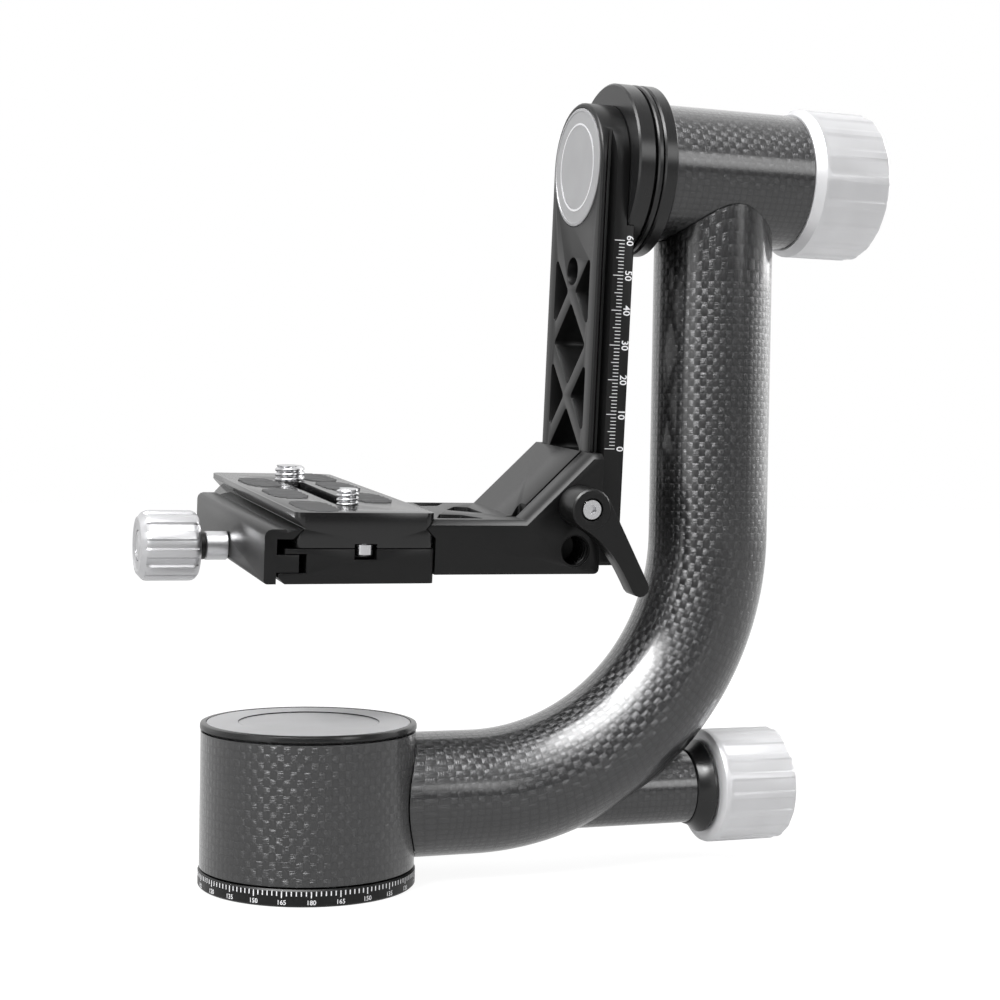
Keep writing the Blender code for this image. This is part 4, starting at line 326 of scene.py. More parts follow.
def threaded(low, high, major, depth, pitch):
    t = threadSettings
    levels = max(2, round((high - low) / pitch * t["perTurn"]))
    rings = []
    for k in range(levels + 1):
        z = low + (high - low) * k / levels
        fade = min(1.0, (high - z) / (pitch * t["runOut"]))
        ring = []
        for i in range(t["steps"]):
            turn = i / t["steps"]
            wave = abs(((z / pitch - turn) % 1) * 2 - 1)
            cut = depth * (1 - min(1.0, wave * t["flank"]))
            radius = major - cut - depth * t["runOutDepth"] * (1 - fade)
            angle = 2 * math.pi * turn
            ring.append((radius * mm * math.cos(angle), radius * mm * math.sin(angle), z * mm))
        rings.append(ring)
    return rings


edgeSettings = {"segments": 2, "bevelAngle": 40, "smooth": 35}


def piece(name, shape, place, finish, body, stands=(), bevel=None, smooth=edgeSettings["smooth"]):
    bmesh.ops.recalc_face_normals(shape, faces=shape.faces)
    mesh = bpy.data.meshes.new(name)
    shape.to_mesh(mesh)
    shape.free()
    mesh.transform(place)
    return meshPiece(name, mesh, finish, body, stands, bevel, smooth)


def bevelled(made, width):
    edge = made.modifiers.new("edge", "BEVEL")
    edge.width = width * mm
    edge.segments = edgeSettings["segments"]
    edge.limit_method = "ANGLE"
    edge.angle_limit = math.radians(edgeSettings["bevelAngle"])
    edge.harden_normals = False
    edge.use_clamp_overlap = True
    mesh = bpy.data.meshes.new_from_object(made.evaluated_get(bpy.context.evaluated_depsgraph_get()))
    made.modifiers.clear()
    return mesh


def meshPiece(name, mesh, finish, body, stands=(), bevel=None, smooth=edgeSettings["smooth"]):
    made = bpy.data.objects.new(name, mesh)
    bpy.context.scene.collection.objects.link(made)
    mesh.materials.clear()
    mesh.materials.append(finishes[finish])
    if bevel:
        made.data = bevelled(made, bevel)
    made.data.shade_smooth()
    made.data.set_sharp_from_angle(angle=math.radians(smooth))
    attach(made, body)
    if stands:
        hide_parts(*stands)
    return made


solidSettings = {"weld": 0.002 * mm, "flatAngle": 0.6}


def fromSolid(name, node, finish, body, bevel):
    shape = bmesh.new()
    shape.from_mesh(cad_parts[node].data)
    bmesh.ops.remove_doubles(shape, verts=shape.verts, dist=solidSettings["weld"])
    flat = math.radians(solidSettings["flatAngle"])
    bmesh.ops.dissolve_limit(shape, angle_limit=flat, verts=shape.verts, edges=shape.edges)
    return piece(name, shape, upright, finish, body, (node,), bevel)


def carbonTube(name, s, place, node):
    outer, inner = s["radius"], s["radius"] - s["wall"]
    profile = [(outer, s["low"]), (outer, s["high"]), (inner, s["high"]), (inner, s["low"])]
    tube = turned(profile, s["steps"], (s["cellsAround"], s["cellHeight"] * mm))
    piece(name, tube, place, "carbon", "panning_frame", (node,))


def wheelRims(radius, low, high, lowRim, highRim):
    # Each rim row says how far inside the radius, how far from its end, and the flutes' share there
    near = [(radius - inset, low + run, share) for inset, run, share in lowRim]
    far = [(radius - inset, high - run, share) for inset, run, share in highRim]
    return near, far


# Geometry Nodes: a tree built from a function, run once and kept as plain mesh

def grown(name, build, inputs, finish):
    tree = bpy.data.node_groups.new(name, "GeometryNodeTree")
    tree.interface.new_socket("Geometry", in_out="OUTPUT", socket_type="NodeSocketGeometry")
    kinds = {float: "NodeSocketFloat", int: "NodeSocketInt"}
    sockets = {}
    for label, value in inputs.items():
        sockets[label] = tree.interface.new_socket(label, in_out="INPUT", socket_type=kinds[type(value)])
    sheet = Sheet(tree)
    entry = tree.nodes.new("NodeGroupInput")
    wires = {label: Wire(sheet, entry.outputs[label]) for label in inputs}
    result = build(sheet, wires)
    real = sheet.add("GeometryNodeRealizeInstances", None, {0: result})
    painted = sheet.add("GeometryNodeSetMaterial", None, {"Geometry": real, "Material": finishes[finish]})
    leave = tree.nodes.new("NodeGroupOutput")
    tree.links.new(painted.socket, leave.inputs[0])
    holder = bpy.data.objects.new(name, bpy.data.meshes.new(name))
    bpy.context.scene.collection.objects.link(holder)
    run = holder.modifiers.new("grow", "NODES")
    run.node_group = tree
    for label, socket in sockets.items():
        run[socket.identifier] = inputs[label]
    mesh = bpy.data.meshes.new_from_object(holder.evaluated_get(bpy.context.evaluated_depsgraph_get()))
    holder.modifiers.clear()
    bpy.data.objects.remove(holder)
    return mesh


def meshLine(sheet, count, offset=None):
    values = {"Count": count} | ({"Offset": sheet.vector(offset)} if offset else {})
    return sheet.add("GeometryNodeMeshLine", {"mode": "OFFSET"}, values)


def meshBox(sheet, x, y, z):
    return sheet.add("GeometryNodeMeshCube", None, {"Size": sheet.vector({0: x, 1: y, 2: z})})


def tickRow(sheet, wires):
    # Every tenth line is long and the fifths between are middling
    line = meshLine(sheet, wires["Count"], {2: wires["Step"]})
    index = sheet.add("GeometryNodeInputIndex")
    long = (index % 10) < 0.5
    middle = ((index % 5) < 0.5) - long
    short = wires["Short"]
    length = short + middle * (wires["Middle"] - short) + long * (wires["Long"] - short)
    box = meshBox(sheet, wires["Unit"], wires["Proud"], wires["Width"])
    values = {"Geometry": line, "Offset": sheet.vector({0: length * -0.5})}
    shifted = sheet.add("GeometryNodeSetPosition", None, values)
    size = sheet.vector({0: length / wires["Unit"], 1: 1.0, 2: 1.0})
    return sheet.add("GeometryNodeInstanceOnPoints", None, {"Points": shifted, "Instance": box, "Scale": size})


def tickRing(sheet, wires):
    # Every sixth line is long: 15 degrees at 144 lines a turn
    line = meshLine(sheet, wires["Count"])
    index = sheet.add("GeometryNodeInputIndex")
    angle = index * (2 * math.pi) / wires["Count"] + wires["Start"]
    long = (index % 6) < 0.5
    length = wires["Short"] + long * (wires["Long"] - wires["Short"])
    reach = wires["Radius"]
    middle = wires["Top"] - length * 0.5
    spot = sheet.vector({0: reach * angle.one("COSINE"), 1: reach * angle.one("SINE"), 2: middle})
    placed = sheet.add("GeometryNodeSetPosition", None, {"Geometry": line, "Position": spot})
    box = meshBox(sheet, wires["Proud"], wires["Width"], wires["Unit"])
    size = sheet.vector({0: 1.0, 1: 1.0, 2: length / wires["Unit"]})
    values = {"Points": placed, "Instance": box, "Rotation": sheet.vector({2: angle}), "Scale": size}
    return sheet.add("GeometryNodeInstanceOnPoints", None, values)


leafSettings = {"sides": 6, "waveStep": 2.1, "waveSize": 0.06}


def gripLeaf(sheet, wires):
    # Ribs across a leaf: a rounded square outline, with a small wave in the ribs' lengths
    s = leafSettings
    line = meshLine(sheet, wires["Ribs"], {1: wires["Pitch"]})
    index = sheet.add("GeometryNodeInputIndex")
    share = (index + 0.5) / wires["Ribs"] * 2 - 1
    bulge = (1 - (share * share) * (share * share)).one("SQRT")
    wave = (index * s["waveStep"]).one("SINE") * s["waveSize"] + 1
    values = {"Vertices": s["sides"], "Radius": wires["Rib"], "Depth": wires["Width"]}
    rib = sheet.add("GeometryNodeMeshCylinder", None, values)
    size = sheet.vector({0: 1.0, 1: 1.0, 2: bulge * wave})
    values = {"Points": line, "Instance": rib, "Rotation": sheet.vector({1: math.pi / 2}), "Scale": size}
    return sheet.add("GeometryNodeInstanceOnPoints", None, values)


# Lettering: generic numbers only

letterSettings = {"resolution": 3, "weight": 0.012, "weld": 0.0005 * mm}


def numberMesh(labels, size, bend):
    shape = bmesh.new()
    for text, where in labels:
        curve = bpy.data.curves.new("number", "FONT")
        curve.body = text
        curve.size = size * mm
        curve.align_x = "CENTER"
        curve.align_y = "CENTER"
        curve.resolution_u = letterSettings["resolution"]
        curve.offset = size * mm * letterSettings["weight"]
        holder = bpy.data.objects.new("number", curve)
        bpy.context.scene.collection.objects.link(holder)
        bpy.context.view_layer.update()
        flat = bpy.data.meshes.new_from_object(holder.evaluated_get(bpy.context.evaluated_depsgraph_get()))
        bpy.data.objects.remove(holder)
        start = len(shape.verts)
        shape.from_mesh(flat)
        bpy.data.meshes.remove(flat)
        shape.verts.ensure_lookup_table()
        for vertex in shape.verts[start:]:
            vertex.co = bend(vertex.co.x, vertex.co.y, where)
    bmesh.ops.remove_doubles(shape, verts=shape.verts, dist=letterSettings["weld"])
    return shape


def numberPiece(name, shape, place, body):
    mesh = bpy.data.meshes.new(name)
    shape.to_mesh(mesh)
    shape.free()
    mesh.transform(place)
    return meshPiece(name, mesh, "ink", body)


# Foot with its degree ring

footSettings = {
    "radius": 30.4, "height": 4.7, "edge": 0.45, "bore": 6.86, "steps": 160, "markZero": -101.5,
    "ticks": 144, "short": 1.25, "long": 1.75, "unit": 1.0, "tickWidth": 0.3, "tickProud": 0.05,
    "tickLift": 0.005, "numbers": 24, "numberStep": 15, "highest": 180, "digitSize": 1.75, "digitHeight": 1.25,
    "digitLift": 0.03,
}


def makeFoot():
    s = footSettings
    r, h, e, bore = s["radius"], s["height"], s["edge"], s["bore"]
    profile = [(bore, 0), (r - e, 0), (r, e), (r, h - e), (r - e, h), (bore, h)]
    piece("scaleFoot", turned(profile, s["steps"]), upright, "black", "foot", ("base_plate",))
    start = math.radians(s["markZero"])
    ticks = grown("degreeTicks", tickRing, {
        "Count": s["ticks"], "Start": start, "Radius": (r + s["tickLift"]) * mm, "Top": (h - e) * mm,
        "Short": s["short"] * mm, "Long": s["long"] * mm, "Width": s["tickWidth"] * mm,
        "Proud": s["tickProud"] * mm, "Unit": s["unit"] * mm,
    }, "ink")
    meshPiece("degreeTicks", ticks, "ink", "foot")
    turns = [k * s["numberStep"] for k in range(s["numbers"])]
    labels = [(str(abs(s["highest"] - turn)), start + math.radians(turn)) for turn in turns]

    def bend(x, y, angle):
        reach = (r + s["digitLift"]) * mm
        turn = angle + x / reach
        return Vector((reach * math.cos(turn), reach * math.sin(turn), s["digitHeight"] * mm + y))

    numberPiece("degreeNumbers", numberMesh(labels, s["digitSize"], bend), upright, "foot")


makeFoot()
print("foot ready")

# Panning housing and cap

sleeveSettings = {
    "radius": 30.1, "wall": 0.9, "low": 5.3, "high": 43.0, "steps": 204, "cellsAround": 102, "cellHeight": 2.2,
}
capSettings = {
    "radius": 30.3, "low": 43.3, "top": 45.4, "steps": 160, "chamfer": 0.5, "round": 0.7, "roundMiddle": 0.2,
    "ledge": 1.7, "sink": 0.8, "gap": 0.15, "back": 0.5, "face": 0.1, "faceEdge": 0.12,
    "recess": 0.695, "recessFloor": 0.45, "shadeSheetWidth": 0.1, "shadeSheetLift": 0.03,
}


def makeHousing():
    carbonTube("carbonSleeve", sleeveSettings, upright, "base_sleeve")
    s = capSettings
    c, top, low, steps = s["radius"], s["top"], s["low"], s["steps"]
    ledge, sunk, bevel, curve, mid = c - s["ledge"], top - s["sink"], s["chamfer"], s["round"], s["roundMiddle"]
    rim = [
        (0, low), (c - bevel, low), (c, low + bevel), (c, top - curve), (c - mid, top - mid), (c - curve, top),
        (ledge, top), (ledge, sunk), (0, sunk),
    ]
    piece("capRim", turned(rim, steps), upright, "blackGloss", "panning_frame", ("cap_rim",))
    edge = ledge - s["gap"]
    step, floor, face, back = edge * s["recess"], top - s["recessFloor"], top - s["face"], top - s["back"]
    slope, width, lift = s["faceEdge"], s["shadeSheetWidth"], s["shadeSheetLift"]
    inlay = [
        (0, back), (edge, back), (edge, face - slope), (edge - slope, face), (step, face), (step, floor), (0, floor),
    ]
    piece("capInlay", turned(inlay, steps), upright, "label", "panning_frame", ("cap_disc",))
    # A thin black sheet on the wall of the inlay's recess: painted shade, darkening the step where shadow falls.
    line = [
        (step - width, floor + lift), (step - lift, floor + lift),
        (step - lift, face - lift), (step - width, face - lift),
    ]
    piece("capStepShade", turned(line, steps), upright, "blackGloss", "panning_frame")


makeHousing()
print("housing ready")

# Bent tube

bentSettings = {
    "radius": 17.8, "wall": 1.6, "run": 23.3, "bend": 74.6, "uprightX": 123.05, "uprightEnd": 180.0,
    "runSteps": 12, "runStart": 8, "bendSteps": 64, "uprightSteps": 12, "steps": 120,
    "sleeveReach": 30.35, "saddleReach": 20.45, "cellsAround": 60, "cellHeight": 2.05,
}


def makeBentTube():
    s = bentSettings
    bend, level, x = s["bend"], s["run"], s["uprightX"]
    runEnd, bendTop = x - bend, level + bend
    stations = []
    for k in range(s["runStart"], s["runSteps"]):
        stations.append((Vector((runEnd * k / s["runSteps"], 0, level)), 0.0))
    for k in range(s["bendSteps"] + 1):
        angle = math.pi / 2 * k / s["bendSteps"]
        centre = Vector((runEnd + bend * math.sin(angle), 0, level + bend * (1 - math.cos(angle))))
        stations.append((centre, angle))
    for k in range(1, s["uprightSteps"] + 1):
        height = bendTop + (s["uprightEnd"] - level - bend) * k / s["uprightSteps"]
        stations.append((Vector((x, 0, height)), math.pi / 2))
    rings = []
    for radius, path in ((s["radius"], stations), (s["radius"] - s["wall"], stations[::-1])):
        for station in path:
            centre, heading = station
            inward = Vector((-math.sin(heading), 0, math.cos(heading)))
            ring = []
            for i in range(s["steps"]):
                a = 2 * math.pi * i / s["steps"]
                point = centre + radius * (inward * math.cos(a) + Vector((0, math.sin(a), 0)))
                if station is stations[0]:
                    point.x = math.sqrt(s["sleeveReach"] ** 2 - point.y ** 2)
                if station is stations[-1]:
                    point.z = tiltHeight - math.sqrt(s["saddleReach"] ** 2 - point.y ** 2)
                ring.append(point * mm)
            rings.append(ring)
    tube = skinRings(rings, False, (s["cellsAround"], s["cellHeight"] * mm))
    piece("bentTube", tube, upright, "carbon", "panning_frame", ("j_tube",), smooth=50)


makeBentTube()
print("bent tube ready")

# Pan lock

lockTubeSettings = {
    "radius": 10.8, "wall": 1.2, "low": 52.0, "high": 116.1, "steps": 96, "cellsAround": 36, "cellHeight": 1.95,
}
lockCollarProfile = [
    (3.3, 105.5), (9.3, 105.5), (9.3, 116.4), (10.9, 116.4), (11.3, 116.7), (11.5, 117.4),
    (12.2, 118.8), (13.2, 120.0), (13.8, 120.7), (13.8, 121.3), (13.4, 121.6), (3.3, 121.6),
]
knobRim = ((0, 1.3, 1), (0.12, 0.6, 1), (0.4, 0.2, 0.6), (0.8, 0, 0))
panKnobSettings = {
    "radius": 17.0, "left": 122.2, "length": 24.1, "bore": 3.3, "boreEnd": 140.0,
    "flutes": 18, "depth": 0.3, "land": 0.3,
    "leftRim": ((2.0, 0, 0), (1.0, 0.15, 0), (0.25, 0.7, 0), (0, 1.5, 0), (0, 2.6, 0), (0, 3.2, 1)),
}


def lockKnob(k):
    left, end = k["left"], k["left"] + k["length"]
    near, far = wheelRims(k["radius"], left, end, k["leftRim"], knobRim)
    bore = [(0, k["boreEnd"], 0), (k["bore"], k["boreEnd"], 0), (k["bore"], left, 0)]
    return fluted(bore + near + far + [(0, end, 0)], k["flutes"], k["depth"], k["land"])


def makePanLock():
    carbonTube("lockTube", lockTubeSettings, lockPlace, "lock_tube")
    collar, stands = turned(lockCollarProfile, steps=96), ("lock_collar",)
    piece("lockCollar", collar, lockPlace, "blackGloss", "panning_frame", stands, smooth=25)
    knob = lockKnob(panKnobSettings)
    piece("panKnob", knob, lockPlace, "silver", "pan_handwheel", ("pan_knob",), smooth=28)


makePanLock()
print("pan lock ready")

# Cross tube, rings and tilt knob

crossTubeSettings = {
    "radius": 20.2, "wall": 1.0, "low": 99.9, "high": 146.2, "steps": 132, "cellsAround": 66, "cellHeight": 2.05,
}
tiltKnobSettings = {
    "radius": 22.4, "left": 146.5, "length": 24.3, "bore": 4.3, "boreEnd": 162.3,
    "flutes": 18, "depth": 0.35, "land": 0.3,
    "leftRim": ((1.7, 0, 0), (0, 2.6, 0), (0, 4.0, 0), (0, 4.7, 1)),
}
ringSettings = {
    "bore": 8.3, "radius": 25.0, "steps": 144,
    "rings": (  # name, low end, high end, edge, node
        ("statorRing", 95.4, 99.6, 0.5, "stator_ring"), ("washerRing", 93.3, 95.0, 0.4, "thrust_washer"),
    ),
    "rotor": (
        (0, 87.3), (24.5, 87.3), (25.0, 87.8), (25.0, 92.1), (24.5, 92.6), (8.3, 92.6), (8.3, 88.0), (0, 88.0),
    ),
}


def makeCrossTube():
    carbonTube("crossTube", crossTubeSettings, crossPlace, "top_tube")
    s = ringSettings
    bore, r, steps = s["bore"], s["radius"], s["steps"]
    for name, low, high, e, node in s["rings"]:
        ring = [(bore, low), (r - e, low), (r, low + e), (r, high - e), (r - e, high), (bore, high)]
        piece(name, turned(ring, steps), crossPlace, "blackGloss", "panning_frame", (node,))
    rotor = turned(s["rotor"], steps)
    piece("rotorRing", rotor, armPlace @ alongX, "blackGloss", "arm", ("rotor_flange",))
    knob = lockKnob(tiltKnobSettings)
    piece("tiltKnob", knob, crossPlace, "silver", "tilt_handwheel", ("tilt_knob",), smooth=28)


makeCrossTube()
print("cross tube ready")

# Swing arm with its millimetre scale

armSettings = {
    "halfWidth": 18.66, "edge": 0.25, "ticks": 61, "step": -1.0, "short": 1.7, "middle": 2.4, "long": 3.1,
    "tickWidth": 0.2, "tickProud": 0.05, "tickLift": 0.005, "unit": 1.0, "scaleTop": -21.33, "tickRight": 86.6,
    "highest": 60, "numberStep": 10, "numbers": 7, "digitSize": 3.0, "digitX": 88.15, "digitLift": 0.03,
}
armDiscSettings = {
    "radius": 17.1, "steps": 128, "back": 79.0, "face": 78.25, "rimFace": 78.1, "grooveFloor": 78.4,
    "rimEdge": 0.25, "rimWidth": 0.9, "rimFoot": 1.0, "groove": 0.755, "grooveEdge": 0.1, "grooveWidth": 0.7,
    "grooveFoot": 0.8, "circle": (78.2, 78.37),
}


def makeArm():
    s, d = armSettings, armDiscSettings
    fromSolid("trussArm", "swing_arm", "black", "arm", s["edge"])
    r, back, face, rim, floor = d["radius"], d["back"], d["face"], d["rimFace"], d["grooveFloor"]
    step = r * d["groove"]
    outer, inner = step - d["grooveEdge"], step - d["grooveWidth"]
    disc = [
        (0, back), (r, back), (r, face), (r - d["rimEdge"], rim), (r - d["rimWidth"], rim),
        (r - d["rimFoot"], face), (step, face), (outer, floor), (inner, floor), (step - d["grooveFoot"], face),
        (0, face),
    ]
    piece("armInlay", turned(disc, d["steps"]), armPlace @ alongX, "armLabel", "arm", ("arm_disc",))
    near, far = d["circle"]
    line = [(inner, near), (outer, near), (outer, far), (inner, far)]
    piece("armCircle", turned(line, d["steps"]), armPlace @ alongX, "bright", "arm")
    ticks = grown("millimetreTicks", tickRow, {
        "Count": s["ticks"], "Step": s["step"] * mm, "Short": s["short"] * mm, "Middle": s["middle"] * mm,
        "Long": s["long"] * mm, "Width": s["tickWidth"] * mm, "Proud": s["tickProud"] * mm,
        "Unit": s["unit"] * mm,
    }, "ink")
    ticks.transform(armPlace @ at(s["tickRight"], -s["halfWidth"] - s["tickLift"], s["scaleTop"]))
    meshPiece("millimetreTicks", ticks, "ink", "arm")
    steps = [s["numberStep"] * k for k in range(s["numbers"])]
    labels = [(str(s["highest"] - down), s["scaleTop"] - down) for down in steps]

    def lay(x, y, height):
        return Vector((s["digitX"] * mm + y, (-s["halfWidth"] - s["digitLift"]) * mm, height * mm - x))

    numberPiece("millimetreNumbers", numberMesh(labels, s["digitSize"], lay), armPlace, "arm")


makeArm()
print("arm ready")

# Carriage, lever and clamp

leverScrewSettings = {
    "x": 73.35, "y": -24.3, "z": -97.3,
    "profile": (
        (0, 2.0), (1.5, 2.0), (1.5, 9.8), (2.95, 9.8), (2.95, 11.2), (2.7, 11.5),
        (1.25, 11.5), (1.2, 11.4), (1.15, 10.3), (0, 10.3),
    ),
}
accessorySettings = {
    "x": 73.3, "z": -110.4, "radius": 4.74, "low": 12.2, "high": 23.9, "pitch": 1.59, "depth": 0.45,
    "crest": 0.02, "skin": 0.01,
}
solidPieces = {  # name: node, body, edge
    "carriageBracket": ("carriage", "slider", 0.25), "clampBody": ("clamp_body", "slider", 0.25),
    "clampJaw": ("clamp_jaw", "jaw", 0.3), "clampLever": ("clamp_lever", "lever", 0.35),
}


def makeCarriage():
    for name, (node, body, edge) in solidPieces.items():
        fromSolid(name, node, "black", body, edge)
    a = accessorySettings
    rings = threaded(a["low"], a["high"], a["radius"] - a["crest"], a["depth"], a["pitch"])
    for height in (a["high"], a["low"]):
        rings.append(circlePoints((a["radius"] + a["skin"]) * mm, height * mm, threadSettings["steps"]))
    place = armPlace @ at(a["x"], 0, a["z"]) @ alongY
    piece("accessoryThread", skinRings(rings, False), place, "black", "slider", smooth=60)
    v = leverScrewSettings
    place = armPlace @ at(v["x"], v["y"], v["z"]) @ alongY
    piece("leverScrew", turned(v["profile"], steps=64), place, "steel", "lever", ("lever_screw",))


makeCarriage()
print("carriage ready")

# Clamp knob

clampKnobSettings = {
    "y": 25.1, "z": -115.2, "radius": 10.4, "left": -43.5, "right": -26.1, "flutes": 12, "depth": 0.6,
    "land": 0.42, "face": 8.3, "well": 4.6, "wellFloor": 1.2, "sunk": 0.3, "ringFoot": 1.1, "ringEdge": 0.7,
    "hub": 4.0, "hubRise": 0.1, "neck": 4.1, "neckGap": 0.2, "neckEnd": -24.1,
    "leftRim": ((0.5, 1.5, 0), (0.1, 2.2, 0.8), (0, 3.0, 1)),
    "rightRim": ((0, 2.4, 1), (0.12, 1.7, 0.9), (0.6, 0.8, 0.5), (1.5, 0.1, 0), (2.2, 0, 0)),
    "cap": (  # radius, and height over the knob's left end
        (0, 0.9), (4.3, 0.9), (4.3, 0.4), (4.1, 0.3), (2.9, 0.3), (2.75, 0.5), (2.6, 0.3), (0, 0.3),
    ),
    "collar": ((0, -23.8), (4.0, -23.8), (4.25, -23.55), (4.25, -17.55), (4.0, -17.3), (0, -17.3)),
}


def makeClampKnob():
    s = clampKnobSettings
    place = armPlace @ at(0, s["y"], s["z"]) @ alongX
    left, right, face, well, hub = s["left"], s["right"], s["face"], s["well"], s["hub"]
    floor, sunk, hubEnd = left + s["wellFloor"], left + s["sunk"], right + s["hubRise"]
    near, far = wheelRims(s["radius"], left, right, s["leftRim"], s["rightRim"])
    front = [
        (0, floor, 0), (well, floor, 0), (well, sunk, 0), (face - s["ringFoot"], sunk, 0),
        (face - s["ringEdge"], left, 0), (face, left, 0),
    ]
    knob = front + near + far + [(hub, right, 0), (hub, hubEnd, 0), (0, hubEnd, 0)]
    shape = fluted(knob, s["flutes"], s["depth"], s["land"])
    stands = ("clamp_knob", "draw_screw")
    piece("clampKnob", shape, place, "satin", "jaw_handwheel", stands, smooth=28)
    start = right + s["neckGap"]
    neck = [(0, start), (s["neck"], start), (s["neck"], s["neckEnd"]), (0, s["neckEnd"])]
    piece("clampKnobNeck", turned(neck, steps=64), place, "black", "jaw_handwheel")
    cap = turned([(radius, left + over) for radius, over in s["cap"]], steps=64)
    piece("clampKnobCap", cap, place, "satin", "jaw_handwheel", ("knob_cap",))
    collar = turned(s["collar"], steps=64)
    piece("clampKnobCollar", collar, place, "satin", "jaw_handwheel", ("knob_collar",))


makeClampKnob()
print("clamp knob ready")

# Quick-release plate

plateSettings = {
    "centre": 11.3, "top": -99.8, "edge": 0.25, "ribs": 18, "pitch": 1.5, "rib": 0.32, "ribLift": 0.02,
    "leafWidth": 10.8, "left": 0.0, "right": 22.6,
    "leftRows": (-9.5, 26.0, 61.0), "rightRows": (15.5, 50.5, 80.0),
    "neckStart": 0.3, "headHeight": 2.4, "threadDepth": 0.42, "stopY": -22.5,
    "stop": ((0, -112.0), (2.0, -112.0), (2.6, -111.4), (2.6, -108.7), (1.2, -108.7), (1.2, -106.8), (0, -106.8)),
}
screwSettings = {
    "front": {
        "y": -3.7, "major": 3.175, "pitch": 1.27, "top": -95.1, "neck": 2.4, "head": 6.0, "headTop": -106.3,
        "body": "front_screw", "node": "front_camera_screw",
    },
    "rear": {
        "y": 68.0, "major": 4.76, "pitch": 1.59, "top": -94.8, "neck": 4.2, "head": 7.2, "headTop": -105.4,
        "body": "rear_screw", "node": "rear_camera_screw",
    },
}


def makePlate():
    s = plateSettings
    fromSolid("dovetailPlate", "quick_release_plate", "blackPlate", "plate", s["edge"])
    half = s["ribs"] * s["pitch"] / 2
    for side, x, rows in (("Left", s["left"], s["leftRows"]), ("Right", s["right"], s["rightRows"])):
        for number, y in enumerate(rows, 1):
            name = f"gripRibs{side}{number}"
            ribs = grown(name, gripLeaf, {
                "Ribs": s["ribs"], "Pitch": s["pitch"] * mm, "Width": s["leafWidth"] * mm, "Rib": s["rib"] * mm,
            }, "grip")
            ribs.transform(armPlace @ at(x, y - half + s["pitch"] / 2, s["top"] + s["ribLift"]))
            meshPiece(name, ribs, "grip", "plate", smooth=60)
    low = s["top"] + s["neckStart"]
    for name, v in screwSettings.items():
        foot = v["headTop"] - s["headHeight"]
        head = ((v["head"], foot), (v["head"], v["headTop"]), (v["neck"], v["headTop"]), (v["neck"], low))
        rings = [circlePoints(radius * mm, height * mm, threadSettings["steps"]) for radius, height in head]
        rings += threaded(low, v["top"], v["major"], v["pitch"] * s["threadDepth"], v["pitch"])
        place = armPlace @ at(s["centre"], v["y"], 0)
        piece(name + "Stud", skinRings(rings, True), place, "steel", v["body"], (v["node"],), smooth=45)
    place = armPlace @ at(s["centre"], s["stopY"], 0)
    piece("stopScrew", turned(s["stop"], steps=48), place, "steel", "plate", ("stop_screw",))


makePlate()
print("plate ready")

# Solids that show as they came

innerFinishes = {
    "steel": (
        "tripod_bush", "pan_spindle", "spindle_nut", "cap_screw_1", "cap_screw_2", "cap_screw_3", "pan_lock_rod",
        "tilt_lock_screw", "tilt_shaft", "shaft_nut", "arm_screw_1", "arm_screw_2", "arm_screw_3", "arm_screw_4",
        "lever_stud", "lever_spring", "bracket_screw_1", "bracket_screw_2", "guide_pin_1", "guide_pin_2",
        "jaw_spring_1", "jaw_spring_2", "draw_screw", "screw_retainer",
    ),
    "core": ("base_housing", "tilt_housing", "tilt_end_plate"),
    "bronze": ("pan_bearing_lower", "pan_bearing_upper", "tilt_bearing_left", "tilt_bearing_right"),
    "pad": ("pan_brake_pad", "tilt_brake_pad"),
}


def dressSolids():
    for finish, nodes in innerFinishes.items():
        for node in nodes:
            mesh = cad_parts[node].data
            mesh.materials.clear()
            mesh.materials.append(finishes[finish])


dressSolids()
print("inner solids dressed")

# Studio

floorSettings = {"size": 8.0, "drop": 0.0002, "glow": 1.22, "shine": 0.75, "mix": 0.75, "level": 0.85}
worldSettings = {
    "ambient": 0.5, "room": 0.15,
    "panels": {  # what shiny pieces see: direction, where the panel starts and is full, and its strength
        "backdrop": ((0.34, 0.94, 0.0), -0.1, 0.6, 0.75),
        "left": ((-0.94, 0.34, 0.1), 0.72, 0.95, 0.6),
        "right": ((1.0, 0.05, 0.05), 0.75, 0.95, 0.9),
        "front": ((-0.61, -0.78, 0.1), 0.75, 0.95, 0.15),
        "sky": ((0.0, 0.0, 1.0), 0.3, 0.7, 0.45),
        "softbox": ((-0.406, -0.341, 0.848), 0.85, 0.97, 14.0),
        "top": ((-0.12, -0.63, 0.766), 0.9, 0.98, 3.0),
        "window": ((0.461, -0.832, 0.309), 0.975, 0.995, 5.0),
    },
}
lampAim = (0.05, 0, 0.12)
lampSettings = {
    "key": {"place": (-0.5, -0.35, 0.85), "size": 0.35, "power": 9.0},
    "fill": {"place": (-0.9, -0.45, 0.25), "size": 0.5, "power": 1.2},
    "rim": {"place": (0.85, 0.15, 0.45), "size": 0.4, "power": 4.0},
}
white = (1, 1, 1, 1)


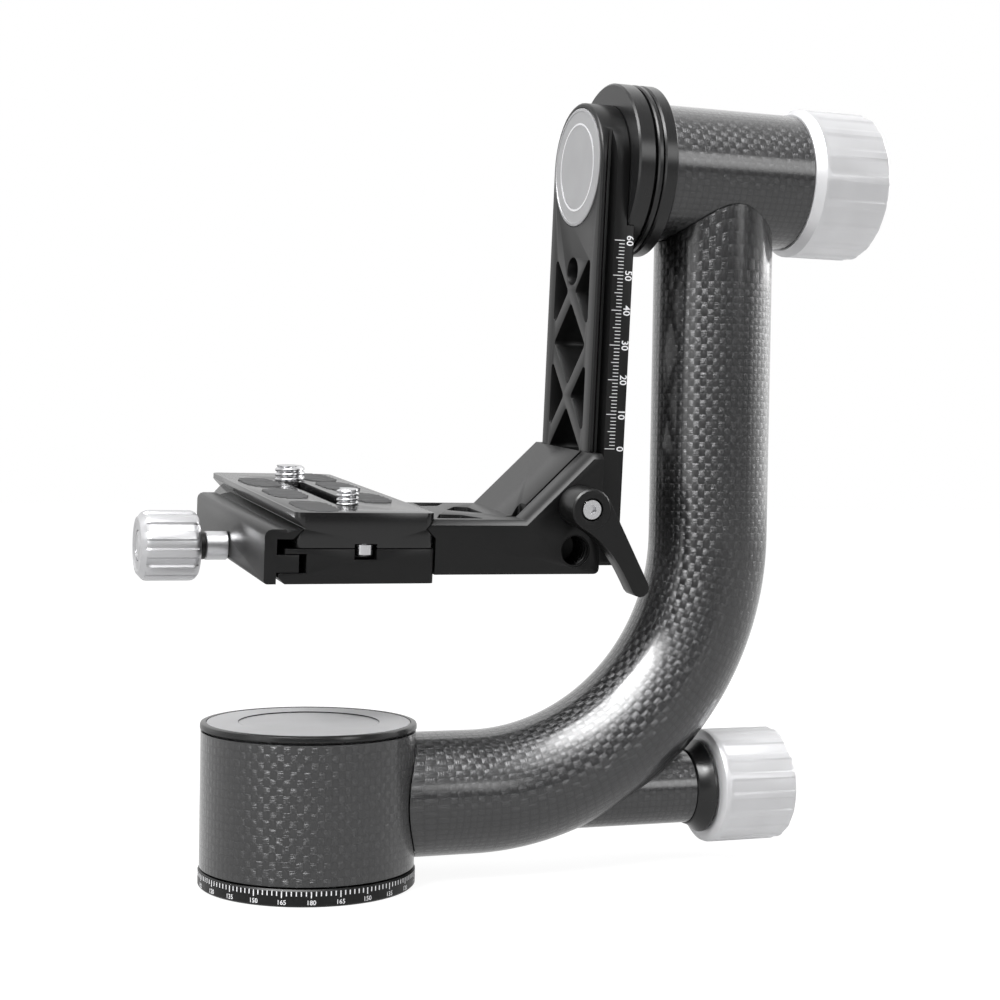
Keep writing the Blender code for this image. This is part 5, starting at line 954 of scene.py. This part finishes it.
def makeFloor():
    s = floorSettings
    half = s["size"] / 2
    mesh = bpy.data.meshes.new("floor")
    mesh.from_pydata([(-half, -half, 0), (half, -half, 0), (half, half, 0), (-half, half, 0)], [], [(0, 1, 2, 3)])
    floor = bpy.data.objects.new("floor", mesh)
    floor.location.z = -s["drop"]
    bpy.context.scene.collection.objects.link(floor)
    material, shader, sheet = newMaterial("whiteFloor", {})
    rays = sheet.add("ShaderNodeLightPath")
    seen = rays.high(sheet.part(rays, "Is Glossy Ray")).high(sheet.part(rays, "Is Transmission Ray"))
    brightness = s["shine"] + rays * (s["glow"] - s["shine"])
    glow = sheet.add("ShaderNodeEmission", None, {"Color": white, "Strength": brightness})
    matte = sheet.add("ShaderNodeBsdfDiffuse", None, {"Color": (s["level"], s["level"], s["level"], 1)})
    mixed = sheet.add("ShaderNodeMixShader", None, {0: seen * s["mix"], 1: matte, 2: glow})
    out = material.node_tree.nodes["Material Output"]
    material.node_tree.links.new(mixed.socket, out.inputs["Surface"])
    material.node_tree.nodes.remove(shader)
    mesh.materials.append(material)


def makeWorld():
    s = worldSettings
    world = bpy.context.scene.world or bpy.data.worlds.new("studio")
    bpy.context.scene.world = world
    world.use_nodes = True
    world.node_tree.nodes.clear()
    sky = Sheet(world.node_tree)
    rays = sky.add("ShaderNodeLightPath")
    seen = rays.high(sky.part(rays, "Is Transmission Ray"))
    glossy = sky.part(rays, "Is Glossy Ray")
    direction = sky.add("ShaderNodeTexCoord")
    panels = s["room"]
    for toward, start, full, strength in s["panels"].values():
        values = {0: direction, 1: Vector(toward).normalized()}
        facing = sky.add("ShaderNodeVectorMath", {"operation": "DOT_PRODUCT"}, values, output="Value")
        values = {0: facing, 1: start, 2: full, 3: 0.0, 4: strength}
        panels = panels + sky.add("ShaderNodeMapRange", {"interpolation_type": "SMOOTHSTEP"}, values)
    strength = seen + (1 - seen) * (glossy * panels + (1 - glossy) * s["ambient"])
    light = sky.add("ShaderNodeBackground", None, {"Color": white, "Strength": strength})
    leave = world.node_tree.nodes.new("ShaderNodeOutputWorld")
    world.node_tree.links.new(light.socket, leave.inputs[0])


def makeLamps():
    for name, v in lampSettings.items():
        lamp = bpy.data.lights.new(name, "AREA")
        lamp.shape = "SQUARE"
        lamp.size = v["size"]
        lamp.energy = v["power"]
        holder = bpy.data.objects.new(name, lamp)
        holder.location = v["place"]
        holder.rotation_mode = "QUATERNION"
        holder.rotation_quaternion = (Vector(lampAim) - Vector(v["place"])).to_track_quat("-Z", "Y")
        bpy.context.scene.collection.objects.link(holder)


makeFloor()
makeWorld()
makeLamps()

# Camera, fitted to the photograph's edges

cameraSettings = {
    "azimuth": -19.875, "elevation": 1.195, "roll": 0.972, "lens": 65.616, "sensor": 36.0, "clipStart": 0.01,
    "place": (-124.217, -498.425, 119.016),
}


def makeCamera():
    s = cameraSettings
    a, e, r = (math.radians(s[key]) for key in ("azimuth", "elevation", "roll"))
    back = Vector((math.sin(a) * math.cos(e), -math.cos(a) * math.cos(e), math.sin(e)))
    right = Vector((math.cos(a), math.sin(a), 0))
    up = back.cross(right)
    turnedRight = math.cos(r) * right + math.sin(r) * up
    turnedUp = -math.sin(r) * right + math.cos(r) * up
    lens = bpy.data.cameras.new("camera")
    lens.lens = s["lens"]
    lens.sensor_width = s["sensor"]
    lens.clip_start = s["clipStart"]
    camera = bpy.data.objects.new("camera", lens)
    bpy.context.scene.collection.objects.link(camera)
    turn = Matrix((turnedRight, turnedUp, back)).transposed().to_4x4()
    camera.matrix_world = Matrix.Translation(Vector(s["place"]) * mm) @ turn
    bpy.context.scene.camera = camera


makeCamera()
bpy.context.scene.view_settings.view_transform = "Standard"
print("studio ready")
